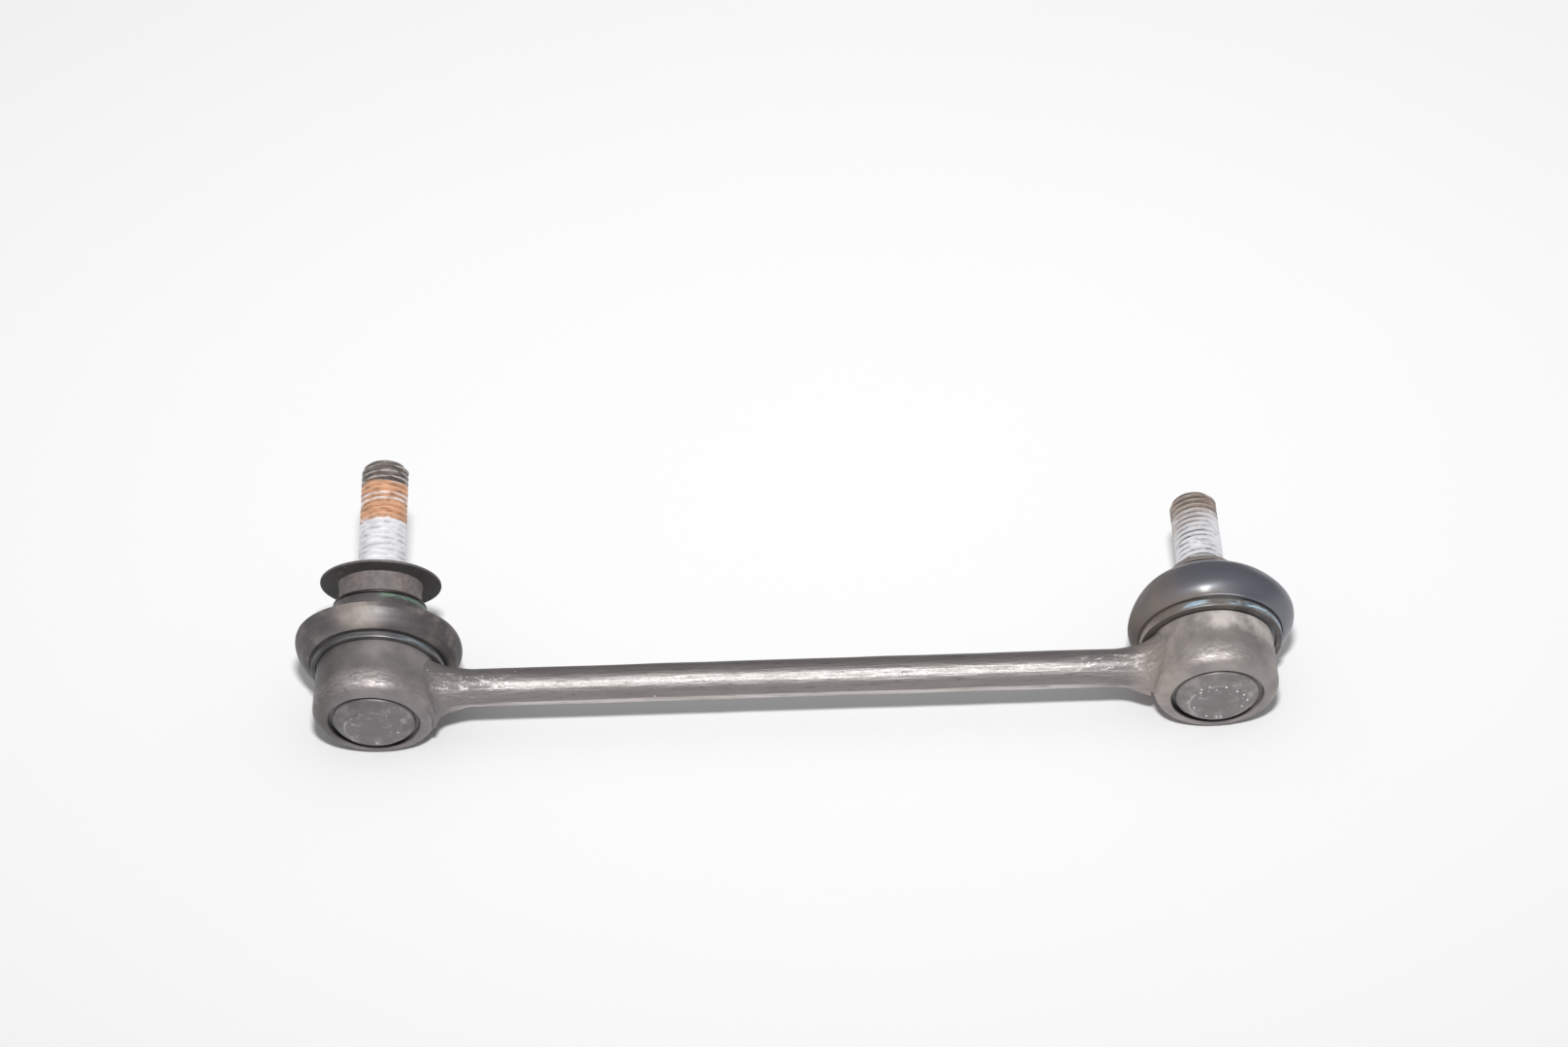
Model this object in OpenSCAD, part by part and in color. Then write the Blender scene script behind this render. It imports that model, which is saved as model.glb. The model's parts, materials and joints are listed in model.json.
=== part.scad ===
// Stabilizer link: a round rod welded to a ball joint at each end.
// It lies on a flat surface, with both studs pointing towards +Y and a little up.
// Heights along a ball joint are counted from the ball's centre towards the stud's tip.

/* [Link] */
// Distance between the two ball centres
centre_distance = 172; // [120:1:300]
// Angle by which the housings point up from the surface under the link
lie_angle = 17; // [0:0.5:25]

/* [Rod] */
// Diameter of the plain rod
rod_d = 7.8; // [6:0.1:9]
// Diameter of the upset rod end at the housing
rod_end_d = 9.8; // [9:0.1:10]
// Length over which the rod widens to its upset end
rod_flare_length = 8; // [4:0.5:16]

/* [Ball joint] */
// Diameter of the ball
ball_d = 16; // [15:0.1:17]
// Gap between the ball and its seat
ball_clearance = 0.05; // [0.02:0.01:0.1]
// Diameter of the stud's neck at the ball
neck_d = 9.6; // [8:0.1:10]
// Largest swing of the stud away from the housing's axis, in degrees
swing_limit = 22; // [15:0.5:25]
// Gap between the neck and the seat's mouth at the largest swing
mouth_clearance = 0.33; // [0.2:0.01:0.6]

/* [Ball seat] */
// Thickness of the seat at the ball's equator
seat_wall = 2.2; // [1.5:0.1:3]
// Depth of the seat below the ball's centre
seat_depth = 4.9; // [4:0.1:6]

/* [Housing] */
// Wall of the housing around the seat
housing_wall = 2.5; // [2:0.1:4]
// Thickness of the housing's roof over the seat
housing_roof = 1.2; // [1:0.1:2]
// Height of the spigot that carries the boot's cuff
spigot_height = 3.4; // [3.2:0.1:4]
// Wall of the spigot behind the cuff's groove
spigot_wall = 1.2; // [0.8:0.1:2]
// Depth of the cuff's groove in the spigot
cuff_groove_depth = 0.8; // [0.4:0.1:1.2]
// Thickness of the spigot's rim above the cuff's groove
spigot_rim = 0.6; // [0.4:0.1:1]
// Radius of the rounded outer corner at the rolled lip
lip_corner_r = 3.3; // [2:0.1:4]
// Thickness of the lip that is rolled over the end cap
lip_thickness = 1.8; // [1.2:0.1:2]
// How far the lip reaches over the end cap's rim
lip_overlap = 1.95; // [0.8:0.05:2.2]
// Chamfer on the housing's upper edge
edge_chamfer = 0.4; // [0.2:0.1:0.8]

/* [End cap] */
// Sheet thickness of the end cap
cap_thickness = 1.2; // [1:0.1:1.6]
// Diameter of the flat at the middle of the end cap's dome
cap_flat_d = 11.7; // [9:0.1:14]
// Gap between the rolled lip's edge and the foot of the cap's dome
cap_foot_gap = 0.35; // [0.3:0.05:1]
// How far the cap's rim reaches beyond the seat
cap_rim = 0.65; // [0.4:0.05:0.7]
// Gap between the ball and the inside of the end cap
cap_clearance = 0.2; // [0.15:0.05:1]

/* [Dust boots] */
// Largest diameter of the boots
boot_d = 34.3; // [33:0.1:36]
// Wall thickness of the boots
boot_wall = 1.1; // [0.8:0.1:1.2]
// Radial thickness of the boot's cuff
cuff_wall = 2.6; // [2:0.1:3]
// Height at which the left boot is widest, above its underside
left_boot_rise = 2.9; // [1.7:0.1:3]
// Height at which the right boot is widest, above its underside
right_boot_rise = 2.5; // [1.7:0.1:4]
// Height at which the left boot's sleeve begins
left_sleeve_base = 14.75; // [14:0.05:15.5]
// Fillet between the left boot's bulge and its sleeve
sleeve_fillet = 1.1; // [0.6:0.1:1.5]
// Height of the lip that grips the stud
boot_lip_height = 3; // [2:0.1:3.5]
// Radial thickness of the lip that grips the stud
boot_lip_wall = 1.35; // [1:0.05:2]
// Gap between a boot and what it grips
boot_clearance = 0.15; // [0.1:0.01:0.3]

/* [Boot rings] */
// Radial thickness of the steel band around the cuff
lower_ring_thickness = 0.9; // [0.5:0.1:1.5]
// Height of the steel band around the cuff
lower_ring_height = 2.1; // [0.8:0.1:2.3]
// Diameter of the wire ring around the lip
upper_ring_wire_d = 0.9; // [0.6:0.1:1.2]

/* [Left stud] */
// Tilt of the left stud away from its housing's axis, upwards
left_tilt = 12; // [-14:0.5:14]
// Diameter of the left stud inside the boot's lip
left_lip_seat_d = 14.8; // [12:0.1:16]
// Height of the left collar's underside
left_collar_base = 19.1; // [18.5:0.1:24]
// Diameter of the left collar
left_collar_d = 17.2; // [16.2:0.1:20]
// Length of the left collar up to the flange
left_collar_length = 4.3; // [1:0.1:10]
// Diameter of the left flange
left_flange_d = 25.2; // [20:0.1:32]
// Thickness of the left flange at its rim
left_flange_rim = 0.6; // [0.4:0.1:3]
// How much thicker the left flange is at its root
left_flange_taper = 0.2; // [0.1:0.1:1]
// Length of the left thread
left_thread_length = 26.8; // [10:0.1:40]

/* [Right stud] */
// Tilt of the right stud away from its housing's axis, upwards
right_tilt = -2; // [-14:0.5:14]
// Diameter of the right stud inside the boot's lip
right_lip_seat_d = 12; // [10.5:0.1:13]
// Height of the right shoulder's underside
right_shoulder_base = 21.4; // [19:0.1:26]
// Diameter of the right shoulder
right_shoulder_d = 14; // [13.2:0.1:20]
// Thickness of the right shoulder
right_shoulder_height = 1.9; // [1:0.1:4]
// Length of the right thread
right_thread_length = 19.2; // [10:0.1:40]

/* [Threads] */
// Outside diameter of both threads
thread_d = 10; // [8:1:12]
// Length of the chamfer at the stud's tip
tip_chamfer = 1.1; // [0.5:0.1:1.5]
// Depth of the hexagon socket in the stud's tip
socket_depth = 5; // [3:0.5:7]

/* [Hidden] */
$fn = 96;
left = -1;
right = 1;
// Room past a face that a cut runs through
cut = 1;

// Ball, seat and mouth
ball_r = ball_d / 2;
neck_r = neck_d / 2;
neck_angle = asin(neck_r / ball_r);
seat_top = ball_r * cos(neck_angle + swing_limit) - mouth_clearance;
seat_r = ball_r + seat_wall;
seat_mouth_r = sqrt(ball_r * ball_r - seat_top * seat_top);

// Housing
housing_r = seat_r + housing_wall;
housing_top = seat_top + housing_roof;
spigot_top = housing_top + spigot_height;
cap_rim_r = seat_r + cap_rim;
cap_rim_face = seat_depth + cap_thickness;
lip_depth = cap_rim_face + lip_thickness;
lip_opening_r = cap_rim_r - lip_overlap;

// Reach of the neck's edge at the largest swing, at a height h
function swung_neck_r(h) =
    (h + neck_r * sin(swing_limit)) * tan(swing_limit) + neck_r * cos(swing_limit);
mouth_inner_r = seat_mouth_r + mouth_clearance;
mouth_outer_r = swung_neck_r(spigot_top) + 2 * mouth_clearance;
groove_r = mouth_outer_r + spigot_wall;
spigot_r = groove_r + cuff_groove_depth;

// End cap
cap_flat_r = cap_flat_d / 2;
cap_flat_depth = ball_r + cap_clearance + cap_thickness;
cap_foot_r = lip_opening_r - cap_foot_gap;
// Inward step of the cap's inner cone, for an even sheet thickness
cap_slope = atan2(cap_flat_depth - cap_rim_face, cap_foot_r - cap_flat_r);
cap_inner_step = cap_thickness * tan(cap_slope / 2);

// Cuff and rings
cuff_bottom = housing_top + boot_clearance;
cuff_top = spigot_top - spigot_rim - boot_clearance;
cuff_inner_r = groove_r + boot_clearance;
cuff_r = cuff_inner_r + cuff_wall;
lower_ring_inner_r = cuff_r + boot_clearance;

// Studs
neck_top = (spigot_top + neck_r * sin(swing_limit)) / cos(swing_limit) + mouth_clearance;
thread_r = thread_d / 2;
tip_r = thread_r - tip_chamfer;
// A hexagon half as wide across its flats as the thread, drawn through its corners
socket_corner_r = thread_r / 2 / cos(30);
left_seat_face = left_collar_base + left_collar_length + left_flange_rim + left_flange_taper;
right_seat_face = right_shoulder_base + right_shoulder_height;
left_tip = left_seat_face + left_thread_length;
right_tip = right_seat_face + right_thread_length;

// Values that differ between the two ends
function tilt(side) = side == left ? left_tilt : right_tilt;
function lip_seat_r(side) = (side == left ? left_lip_seat_d : right_lip_seat_d) / 2;
function lip_top(side) = (side == left ? left_collar_base : right_shoulder_base) - boot_clearance;
function tip(side) = side == left ? left_tip : right_tip;

// Lip of a boot, and the step that carries the wire ring
function lip_bottom(side) = lip_top(side) - boot_lip_height;
function lip_inner_r(side) = lip_seat_r(side) + boot_clearance;
function lip_r(side) = lip_inner_r(side) + boot_lip_wall;
function ring_seat(side) = lip_top(side) - upper_ring_wire_d - boot_clearance;
function ring_centre_r(side) = lip_r(side) + boot_clearance / 2 + upper_ring_wire_d / 2;
function ring_seat_r(side) = ring_centre_r(side) + upper_ring_wire_d / 2;

// Outer outline of a boot from cuff to lip, as cubic curves that meet where it is widest
boot_steps = 8;
fillet_steps = 4;
boot_sides = 48;
boot_r = boot_d / 2;
boot_low = cuff_top - boot_clearance;
function boot_equator(side) = boot_low + (side == left ? left_boot_rise : right_boot_rise);
function cubic(a, b, c, d, t) =
    pow(1 - t, 3) * a + 3 * t * pow(1 - t, 2) * b + 3 * t * t * (1 - t) * c + pow(t, 3) * d;
function lower_curve(side, t) = cubic(
    [cuff_r, boot_low],
    [cuff_r + 0.6 * (boot_r - cuff_r), boot_low],
    [boot_r, boot_low + 0.3 * (boot_equator(side) - boot_low)],
    [boot_r, boot_equator(side)], t);

// The left bulge ends at the foot of a sleeve, and the right one runs up to the lip
function bulge_end(side) = side == left
    ? [ring_seat_r(left) + sleeve_fillet, left_sleeve_base]
    : [ring_seat_r(right), ring_seat(right)];
// Shares of width and height that set how full the bulge is
function fullness(side) = side == left ? [0.6, 0.9] : [0.545, 0.706];
function upper_curve(side, t) = let (end = bulge_end(side), rise = end.y - boot_equator(side)) cubic(
    [boot_r, boot_equator(side)],
    [boot_r, boot_equator(side) + 0.41 * rise],
    [end.x + fullness(side).x * (boot_r - end.x), boot_equator(side) + fullness(side).y * rise],
    end, t);
function fillet_curve(t) = let (end = bulge_end(left)) cubic(
    end,
    end - [sleeve_fillet / 2, 0],
    end + [-sleeve_fillet, sleeve_fillet / 2],
    end + [-sleeve_fillet, sleeve_fillet], t);
function boot_curve(side) = concat(
    [for (i = [0 : boot_steps]) lower_curve(side, i / boot_steps)],
    [for (i = [1 : boot_steps]) upper_curve(side, i / boot_steps)],
    side == left ? [for (i = [1 : fillet_steps]) fillet_curve(i / fillet_steps)] : []);

// The same outline moved inwards by the wall
function unit(v) = v / norm(v);
function inner_curve(side) = let (outer = boot_curve(side), last = len(outer) - 1) [
    for (i = [0 : last])
        let (along = unit(outer[min(i + 1, last)] - outer[max(i - 1, 0)]))
            outer[i] + boot_wall * [-along.y, along.x]
];
function reversed(list) = [for (i = [len(list) - 1 : -1 : 0]) list[i]];

// Closed half section of a boot, as points of radius and height
function boot_section(side) = concat(
    [[cuff_r, cuff_bottom]],
    boot_curve(side),
    side == left ? [[ring_seat_r(left), ring_seat(left)]] : [],
    [[lip_r(side), ring_seat(side)], [lip_r(side), lip_top(side)],
        [lip_inner_r(side), lip_top(side)], [lip_inner_r(side), lip_bottom(side)]],
    reversed(inner_curve(side)),
    [[spigot_r + boot_clearance, boot_low + boot_wall], [spigot_r + boot_clearance, cuff_top],
        [cuff_inner_r, cuff_top], [cuff_inner_r, cuff_bottom]]);

// Share of the stud's tilt that the boot follows at a height h: none at the cuff, all at the end
function follow_end(side) = side == left ? left_sleeve_base : lip_bottom(side);
function follow(side, h) =
    let (t = max(0, min(1, (h - cuff_top) / (follow_end(side) - cuff_top)))) t * t * (3 - 2 * t);
function boot_tilt(side, h) = tilt(side) * follow(side, h);

// Place of the ball centres: the link touches z = 0, and the whole box is centred in y
housing_drop = (lip_depth - lip_corner_r) * sin(lie_angle)
    + (housing_r - lip_corner_r) * cos(lie_angle) + lip_corner_r;
function boot_drop(side) = max([for (p = boot_curve(side))
    let (a = lie_angle + boot_tilt(side, p.y)) p.x * cos(a) - p.y * sin(a)]);
ball_z = max(housing_drop, boot_drop(left), boot_drop(right));
function tip_reach(side) = let (a = lie_angle + tilt(side)) max(
    tip(side) * cos(a) + tip_r * sin(a),
    (tip(side) - tip_chamfer) * cos(a) + thread_r * sin(a));
front_reach = max(
    cap_flat_depth * cos(lie_angle) + cap_flat_r * sin(lie_angle),
    (lip_depth - lip_corner_r) * cos(lie_angle)
        + (housing_r - lip_corner_r) * sin(lie_angle) + lip_corner_r);
ball_y = (front_reach - max(tip_reach(left), tip_reach(right))) / 2;

// Colours as the pieces look
worn_steel = [0.40, 0.37, 0.36];
dusty_steel = [0.50, 0.47, 0.45];
cap_grey = [0.44, 0.42, 0.41];
seat_white = [0.90, 0.88, 0.82];
zinc = [0.70, 0.69, 0.68];
dusty_rubber = [0.30, 0.28, 0.27];
clean_rubber = [0.22, 0.23, 0.25];
band_steel = [0.35, 0.36, 0.38];

// Puts a shape built around a ball centre, with its axis along +Z, at one end of the link
module at_end(side, swing = 0) {
    translate([side * centre_distance / 2, ball_y, ball_z])
        rotate([lie_angle + swing - 90, 0, 0])
            children();
}

module at_stud(side) {
    at_end(side, tilt(side)) children();
}

// Solid outside of a housing, with the rolled lip's rounded corner
module housing_outside() {
    rotate_extrude() {
        translate([0, lip_corner_r - lip_depth])
            square([housing_r, housing_top - edge_chamfer + lip_depth - lip_corner_r]);
        translate([0, housing_top - edge_chamfer])
            polygon([[0, 0], [housing_r, 0], [housing_r - edge_chamfer, edge_chamfer], [0, edge_chamfer]]);
        translate([0, -lip_depth])
            square([housing_r - lip_corner_r, 2 * lip_corner_r]);
        intersection() {
            translate([housing_r - lip_corner_r, lip_corner_r - lip_depth])
                circle(lip_corner_r);
            translate([0, -lip_depth])
                square([housing_r, 2 * lip_corner_r]);
        }
    }
}

module housing() {
    difference() {
        union() {
            housing_outside();
            translate([0, 0, housing_top])
                cylinder(r = groove_r, h = spigot_height);
            translate([0, 0, spigot_top - spigot_rim])
                cylinder(r = spigot_r, h = spigot_rim);
        }
        // Opening inside the rolled lip, counterbore for the cap's rim, bore for the seat
        translate([0, 0, -lip_depth - cut])
            cylinder(r = lip_opening_r, h = lip_depth + cut);
        translate([0, 0, -cap_rim_face])
            cylinder(r = cap_rim_r, h = cap_thickness);
        translate([0, 0, -seat_depth])
            cylinder(r = seat_r, h = seat_depth + seat_top);
        // Flared mouth that lets the neck swing
        rotate_extrude()
            polygon([
                [0, 0], [mouth_inner_r, 0], [mouth_inner_r, seat_top],
                [mouth_outer_r, spigot_top], [mouth_outer_r, spigot_top + cut],
                [0, spigot_top + cut]
            ]);
    }
}

// Pressed cap: a flat rim under the lip, a cone and a flat middle
module end_cap() {
    rotate_extrude()
        polygon([
            [0, -cap_flat_depth],
            [cap_flat_r, -cap_flat_depth],
            [cap_foot_r, -cap_rim_face],
            [cap_rim_r, -cap_rim_face],
            [cap_rim_r, -seat_depth],
            [cap_foot_r - cap_inner_step, -seat_depth],
            [cap_flat_r - cap_inner_step, cap_thickness - cap_flat_depth],
            [0, cap_thickness - cap_flat_depth]
        ]);
}

// Plastic seat that holds the ball above and below its equator
module ball_seat() {
    difference() {
        translate([0, 0, -seat_depth])
            cylinder(r = seat_r, h = seat_depth + seat_top);
        sphere(ball_r + ball_clearance);
    }
}

// Ball and neck, and the cone up to where the boot's lip grips
module stud_foot(side) {
    sphere(ball_r);
    rotate_extrude()
        polygon([
            [0, 0], [neck_r, 0], [neck_r, neck_top],
            [lip_seat_r(side), lip_bottom(side)],
            [lip_seat_r(side), lip_top(side) + boot_clearance],
            [0, lip_top(side) + boot_clearance]
        ]);
}

module thread_shank(base, length) {
    translate([0, 0, base])
        difference() {
            union() {
                cylinder(r = thread_r, h = length - tip_chamfer);
                translate([0, 0, length - tip_chamfer])
                    cylinder(r1 = thread_r, r2 = tip_r, h = tip_chamfer);
            }
            translate([0, 0, length - socket_depth])
                cylinder(r = socket_corner_r, h = socket_depth + cut, $fn = 6);
        }
}

// Closed skin through a ring of points for each point of the section
module dust_boot(side) {
    section = boot_section(side);
    count = len(section);
    points = [
        for (p = section)
            let (a = boot_tilt(side, p.y))
                for (k = [0 : boot_sides - 1])
                    let (turn = 360 * k / boot_sides, x = p.x * cos(turn), y = p.x * sin(turn))
                        [x, y * cos(a) - p.y * sin(a), y * sin(a) + p.y * cos(a)]
    ];
    function at(i, k) = (i % count) * boot_sides + k % boot_sides;
    faces = [
        for (i = [0 : count - 1])
            for (k = [0 : boot_sides - 1])
                for (half = [0, 1])
                    half == 0
                        ? [at(i, k), at(i + 1, k), at(i + 1, k + 1)]
                        : [at(i, k), at(i + 1, k + 1), at(i, k + 1)]
    ];
    polyhedron(points, faces);
}

module lower_boot_ring() {
    rotate_extrude()
        translate([lower_ring_inner_r, cuff_bottom])
            square([lower_ring_thickness, lower_ring_height]);
}

module upper_boot_ring(side) {
    rotate_extrude()
        translate([ring_centre_r(side), ring_seat(side) + (upper_ring_wire_d + boot_clearance) / 2])
            circle(d = upper_ring_wire_d);
}

// Half outline of the rod, widening in a cosine curve towards its end
rod_flare_steps = 10;
function rod_r(t) = rod_d / 2 + (rod_end_d - rod_d) / 2 * (1 - cos(180 * t)) / 2;
rod_half = centre_distance / 2;
rod_flare_end = rod_half - housing_r + lip_corner_r / 2;
rod_outline = [
    for (i = [0 : rod_flare_steps])
        [rod_r(i / rod_flare_steps),
            rod_flare_end - rod_flare_length * (1 - i / rod_flare_steps)]
];

module connecting_rod() {
    color(worn_steel)
        difference() {
            translate([0, ball_y, ball_z])
                rotate([0, 90, 0])
                    rotate_extrude()
                        polygon(concat(
                            [for (p = reversed(rod_outline)) [p.x, -p.y]],
                            rod_outline,
                            [[0, rod_flare_end], [0, -rod_flare_end]]));
            at_end(left) housing_outside();
            at_end(right) housing_outside();
        }
}

module left_housing() { color(worn_steel) at_end(left) housing(); }
module right_housing() { color(dusty_steel) at_end(right) housing(); }
module left_end_cap() { color(cap_grey) at_end(left) end_cap(); }
module right_end_cap() { color(cap_grey) at_end(right) end_cap(); }
module left_ball_seat() { color(seat_white) at_end(left) ball_seat(); }
module right_ball_seat() { color(seat_white) at_end(right) ball_seat(); }

module left_ball_stud() {
    flange_base = left_collar_base + left_collar_length;
    color(zinc)
        at_stud(left) {
            stud_foot(left);
            translate([0, 0, left_collar_base])
                cylinder(d = left_collar_d, h = left_collar_length);
            translate([0, 0, flange_base])
                cylinder(d1 = left_collar_d, d2 = left_flange_d, h = left_flange_taper);
            translate([0, 0, flange_base + left_flange_taper])
                cylinder(d = left_flange_d, h = left_flange_rim);
            thread_shank(left_seat_face, left_thread_length);
        }
}

module right_ball_stud() {
    color(zinc)
        at_stud(right) {
            stud_foot(right);
            translate([0, 0, right_shoulder_base])
                cylinder(d = right_shoulder_d, h = right_shoulder_height);
            thread_shank(right_seat_face, right_thread_length);
        }
}

module left_dust_boot() { color(dusty_rubber) at_end(left) dust_boot(left); }
module right_dust_boot() { color(clean_rubber) at_end(right) dust_boot(right); }
module left_lower_boot_ring() { color(band_steel) at_end(left) lower_boot_ring(); }
module right_lower_boot_ring() { color(band_steel) at_end(right) lower_boot_ring(); }
module left_upper_boot_ring() { color(band_steel) at_stud(left) upper_boot_ring(left); }
module right_upper_boot_ring() { color(band_steel) at_stud(right) upper_boot_ring(right); }

connecting_rod();
left_housing();
right_housing();
left_end_cap();
right_end_cap();
left_ball_seat();
right_ball_seat();
left_ball_stud();
right_ball_stud();
left_dust_boot();
right_dust_boot();
left_lower_boot_ring();
right_lower_boot_ring();
left_upper_boot_ring();
right_upper_boot_ring();
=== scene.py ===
"""Looks of a stabilizer link: worn steel, zinc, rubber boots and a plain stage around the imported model."""

import json
import math

import bmesh
import bpy
from bpy.props import FloatProperty, FloatVectorProperty, IntProperty, PointerProperty
from mathutils import Matrix, Vector, noise


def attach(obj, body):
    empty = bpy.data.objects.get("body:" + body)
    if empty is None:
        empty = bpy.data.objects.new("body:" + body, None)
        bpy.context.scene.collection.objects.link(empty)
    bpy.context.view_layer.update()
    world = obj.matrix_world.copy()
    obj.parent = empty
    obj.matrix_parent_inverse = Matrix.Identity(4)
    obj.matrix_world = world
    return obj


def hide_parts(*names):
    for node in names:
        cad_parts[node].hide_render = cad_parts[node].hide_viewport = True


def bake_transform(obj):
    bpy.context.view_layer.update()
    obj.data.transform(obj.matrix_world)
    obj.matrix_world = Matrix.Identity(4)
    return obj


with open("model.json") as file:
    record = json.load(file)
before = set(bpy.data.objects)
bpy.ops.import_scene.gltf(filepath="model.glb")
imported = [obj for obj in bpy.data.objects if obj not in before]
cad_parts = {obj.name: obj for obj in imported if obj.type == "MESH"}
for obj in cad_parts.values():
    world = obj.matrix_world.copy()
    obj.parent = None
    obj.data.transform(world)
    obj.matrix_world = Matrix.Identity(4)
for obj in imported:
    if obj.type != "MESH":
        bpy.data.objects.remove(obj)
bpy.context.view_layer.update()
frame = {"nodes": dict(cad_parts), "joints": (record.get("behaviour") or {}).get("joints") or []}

bl_info = {
    "name": "Stabilizer link",
    "version": (1, 0, 0),
    "blender": (4, 5, 0),
    "location": "View3D > Sidebar > Link",
    "description": "Builds the visible pieces of a stabilizer link around its packed model",
    "category": "Object",
}

MM = 0.001
ENDS = ("left", "right")
JOINTS = {joint["name"]: joint for joint in frame["joints"]}
WORLD_X = Vector((1, 0, 0))
# Angle around the rod of its low side towards the caps
LOW_SIDE = math.radians(216)
# What differs between the left and the right end, in millimetres; heights are from the ball's centre
END_SIZES = {
    # Fillet of the rod against the housing, and how much smaller it is on the low side
    "fillet": (2.2, 2.9),
    "low_side_loss": (0.0, 1.9),
    # Housing, cuff and band: the left boot sits lower and its band is slimmer
    "housing_top": (4.55, 5.006),
    "cuff_bottom": (4.7, 5.156),
    "cuff_top": (6.2, 7.2),
    "cuff_r": (12.75, 13.183),
    "band_low": (4.2, 4.65),
    "band_height": (1.6, 2.15),
    "band_thickness": (0.95, 1.25),
    # Radius and height of the bulge's hanging rim and of its widest ring
    "rim": ((14.4, 5.85), (14.95, 6.85)),
    "belt": ((17.3, 10.406), (17.15, 10.2)),
    # How straight the bulge's flank is and how full its upper side
    "flank": ((0.75, 1.3), (0.65, 1.7)),
    "fullness": ((0.54, 0.87), (0.545, 0.706)),
    # Heights between which the boot turns to the stud's axis, its lean along the rod, its flat upper side
    "follow_start": (9.0, 7.2),
    "follow_end": (14.75, 18.25),
    "lean": (-0.2, 0.75),
    "flattening": (0.0, 0.5),
    # Heights on the housing's axis that bound the real boot's bend as the stud swings
    "bend_start": (6.4, 8.2),
    "bend_end": (13.9, 18.0),
    # The boot's lip on the stud, the stud's seat face and its tip
    "lip_seat_r": (7.4, 6.0),
    "lip_bottom": (15.95, 18.25),
    "lip_top": (18.95, 21.25),
    "seat_face": (24.2, 23.3),
    "tip": (51.0, 42.5),
}
# Shared by both ends, in millimetres: bead over the groove, lip, ball, neck and hexagon socket
BEAD = 0.8
LIP_WALL = 1.35
BALL_R = 8.0
NECK_R = 4.8
SOCKET_FLAT = 2.5
SOCKET_RIM_R = 2.75
SOCKET_DEPTH = 5.0
# Tones that the finishes share
GRAIN = (0.75, 0.73, 0.71)
DULL_GRAIN = (0.6, 0.58, 0.56)
# Near-black tone of painted shade in grooves
SHADE_TONE = (0.012, 0.011, 0.012)


def length(name, description, default_mm):
    """A length property, given in millimetres and kept in metres."""
    return FloatProperty(
        name=name, description=description, default=default_mm * MM, unit="LENGTH", precision=5)


def colour(name, description, default):
    """A colour property in linear values."""
    return FloatVectorProperty(
        name=name, description=description, default=default, subtype="COLOR", size=3, min=0, max=1)


def number(name, description, default):
    """A plain number property."""
    return FloatProperty(name=name, description=description, default=default)


class LinkSizes(bpy.types.PropertyGroup):
    """Sizes that the visible pieces share with the CAD model."""
    rod_d: length("Rod", "Diameter of the plain rod", 7.8)
    rod_end_d: length("Rod end", "Diameter of the rod's upset end", 9.8)
    flare: length("Flare", "Length over which the rod widens", 8)
    housing_r: length("Housing radius", "Outside radius of the housings", 12.7)
    spigot_top: length("Spigot top", "Height of the spigot under the boot's cuff", 8.406)
    groove_r: length("Groove radius", "Radius of the cuff's groove", 10.433)
    lip_depth: length("Lip depth", "Depth of the rolled lip below the ball", 7.9)
    lip_corner: length("Lip corner", "Radius of the rolled lip's outer corner", 2.95)
    lip_opening_r: length("Lip opening", "Radius of the opening inside the rolled lip", 9.3)
    cap_flat_r: length("Cap flat", "Radius of the flat on the end cap", 5.85)
    cap_depth: length("Cap depth", "Depth of the cap's flat below the ball", 9.4)
    boot_wall: length("Boot wall", "Wall thickness of the boots", 1.1)
    wire_d: length("Wire", "Diameter of the wire ring around the boot's lip", 0.75)
    thread_r: length("Thread radius", "Outside radius of the threads", 4.95)
    thread_core_r: length("Thread core", "Radius at the foot of the thread", 4.2)
    thread_pitch: length("Pitch", "Pitch of the threads", 1.25)
    clearance: length("Clearance", "Gap between a boot and what it grips", 0.15)
    segments: IntProperty(name="Segments", description="Faces around each turned piece", default=160, min=24)


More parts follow.
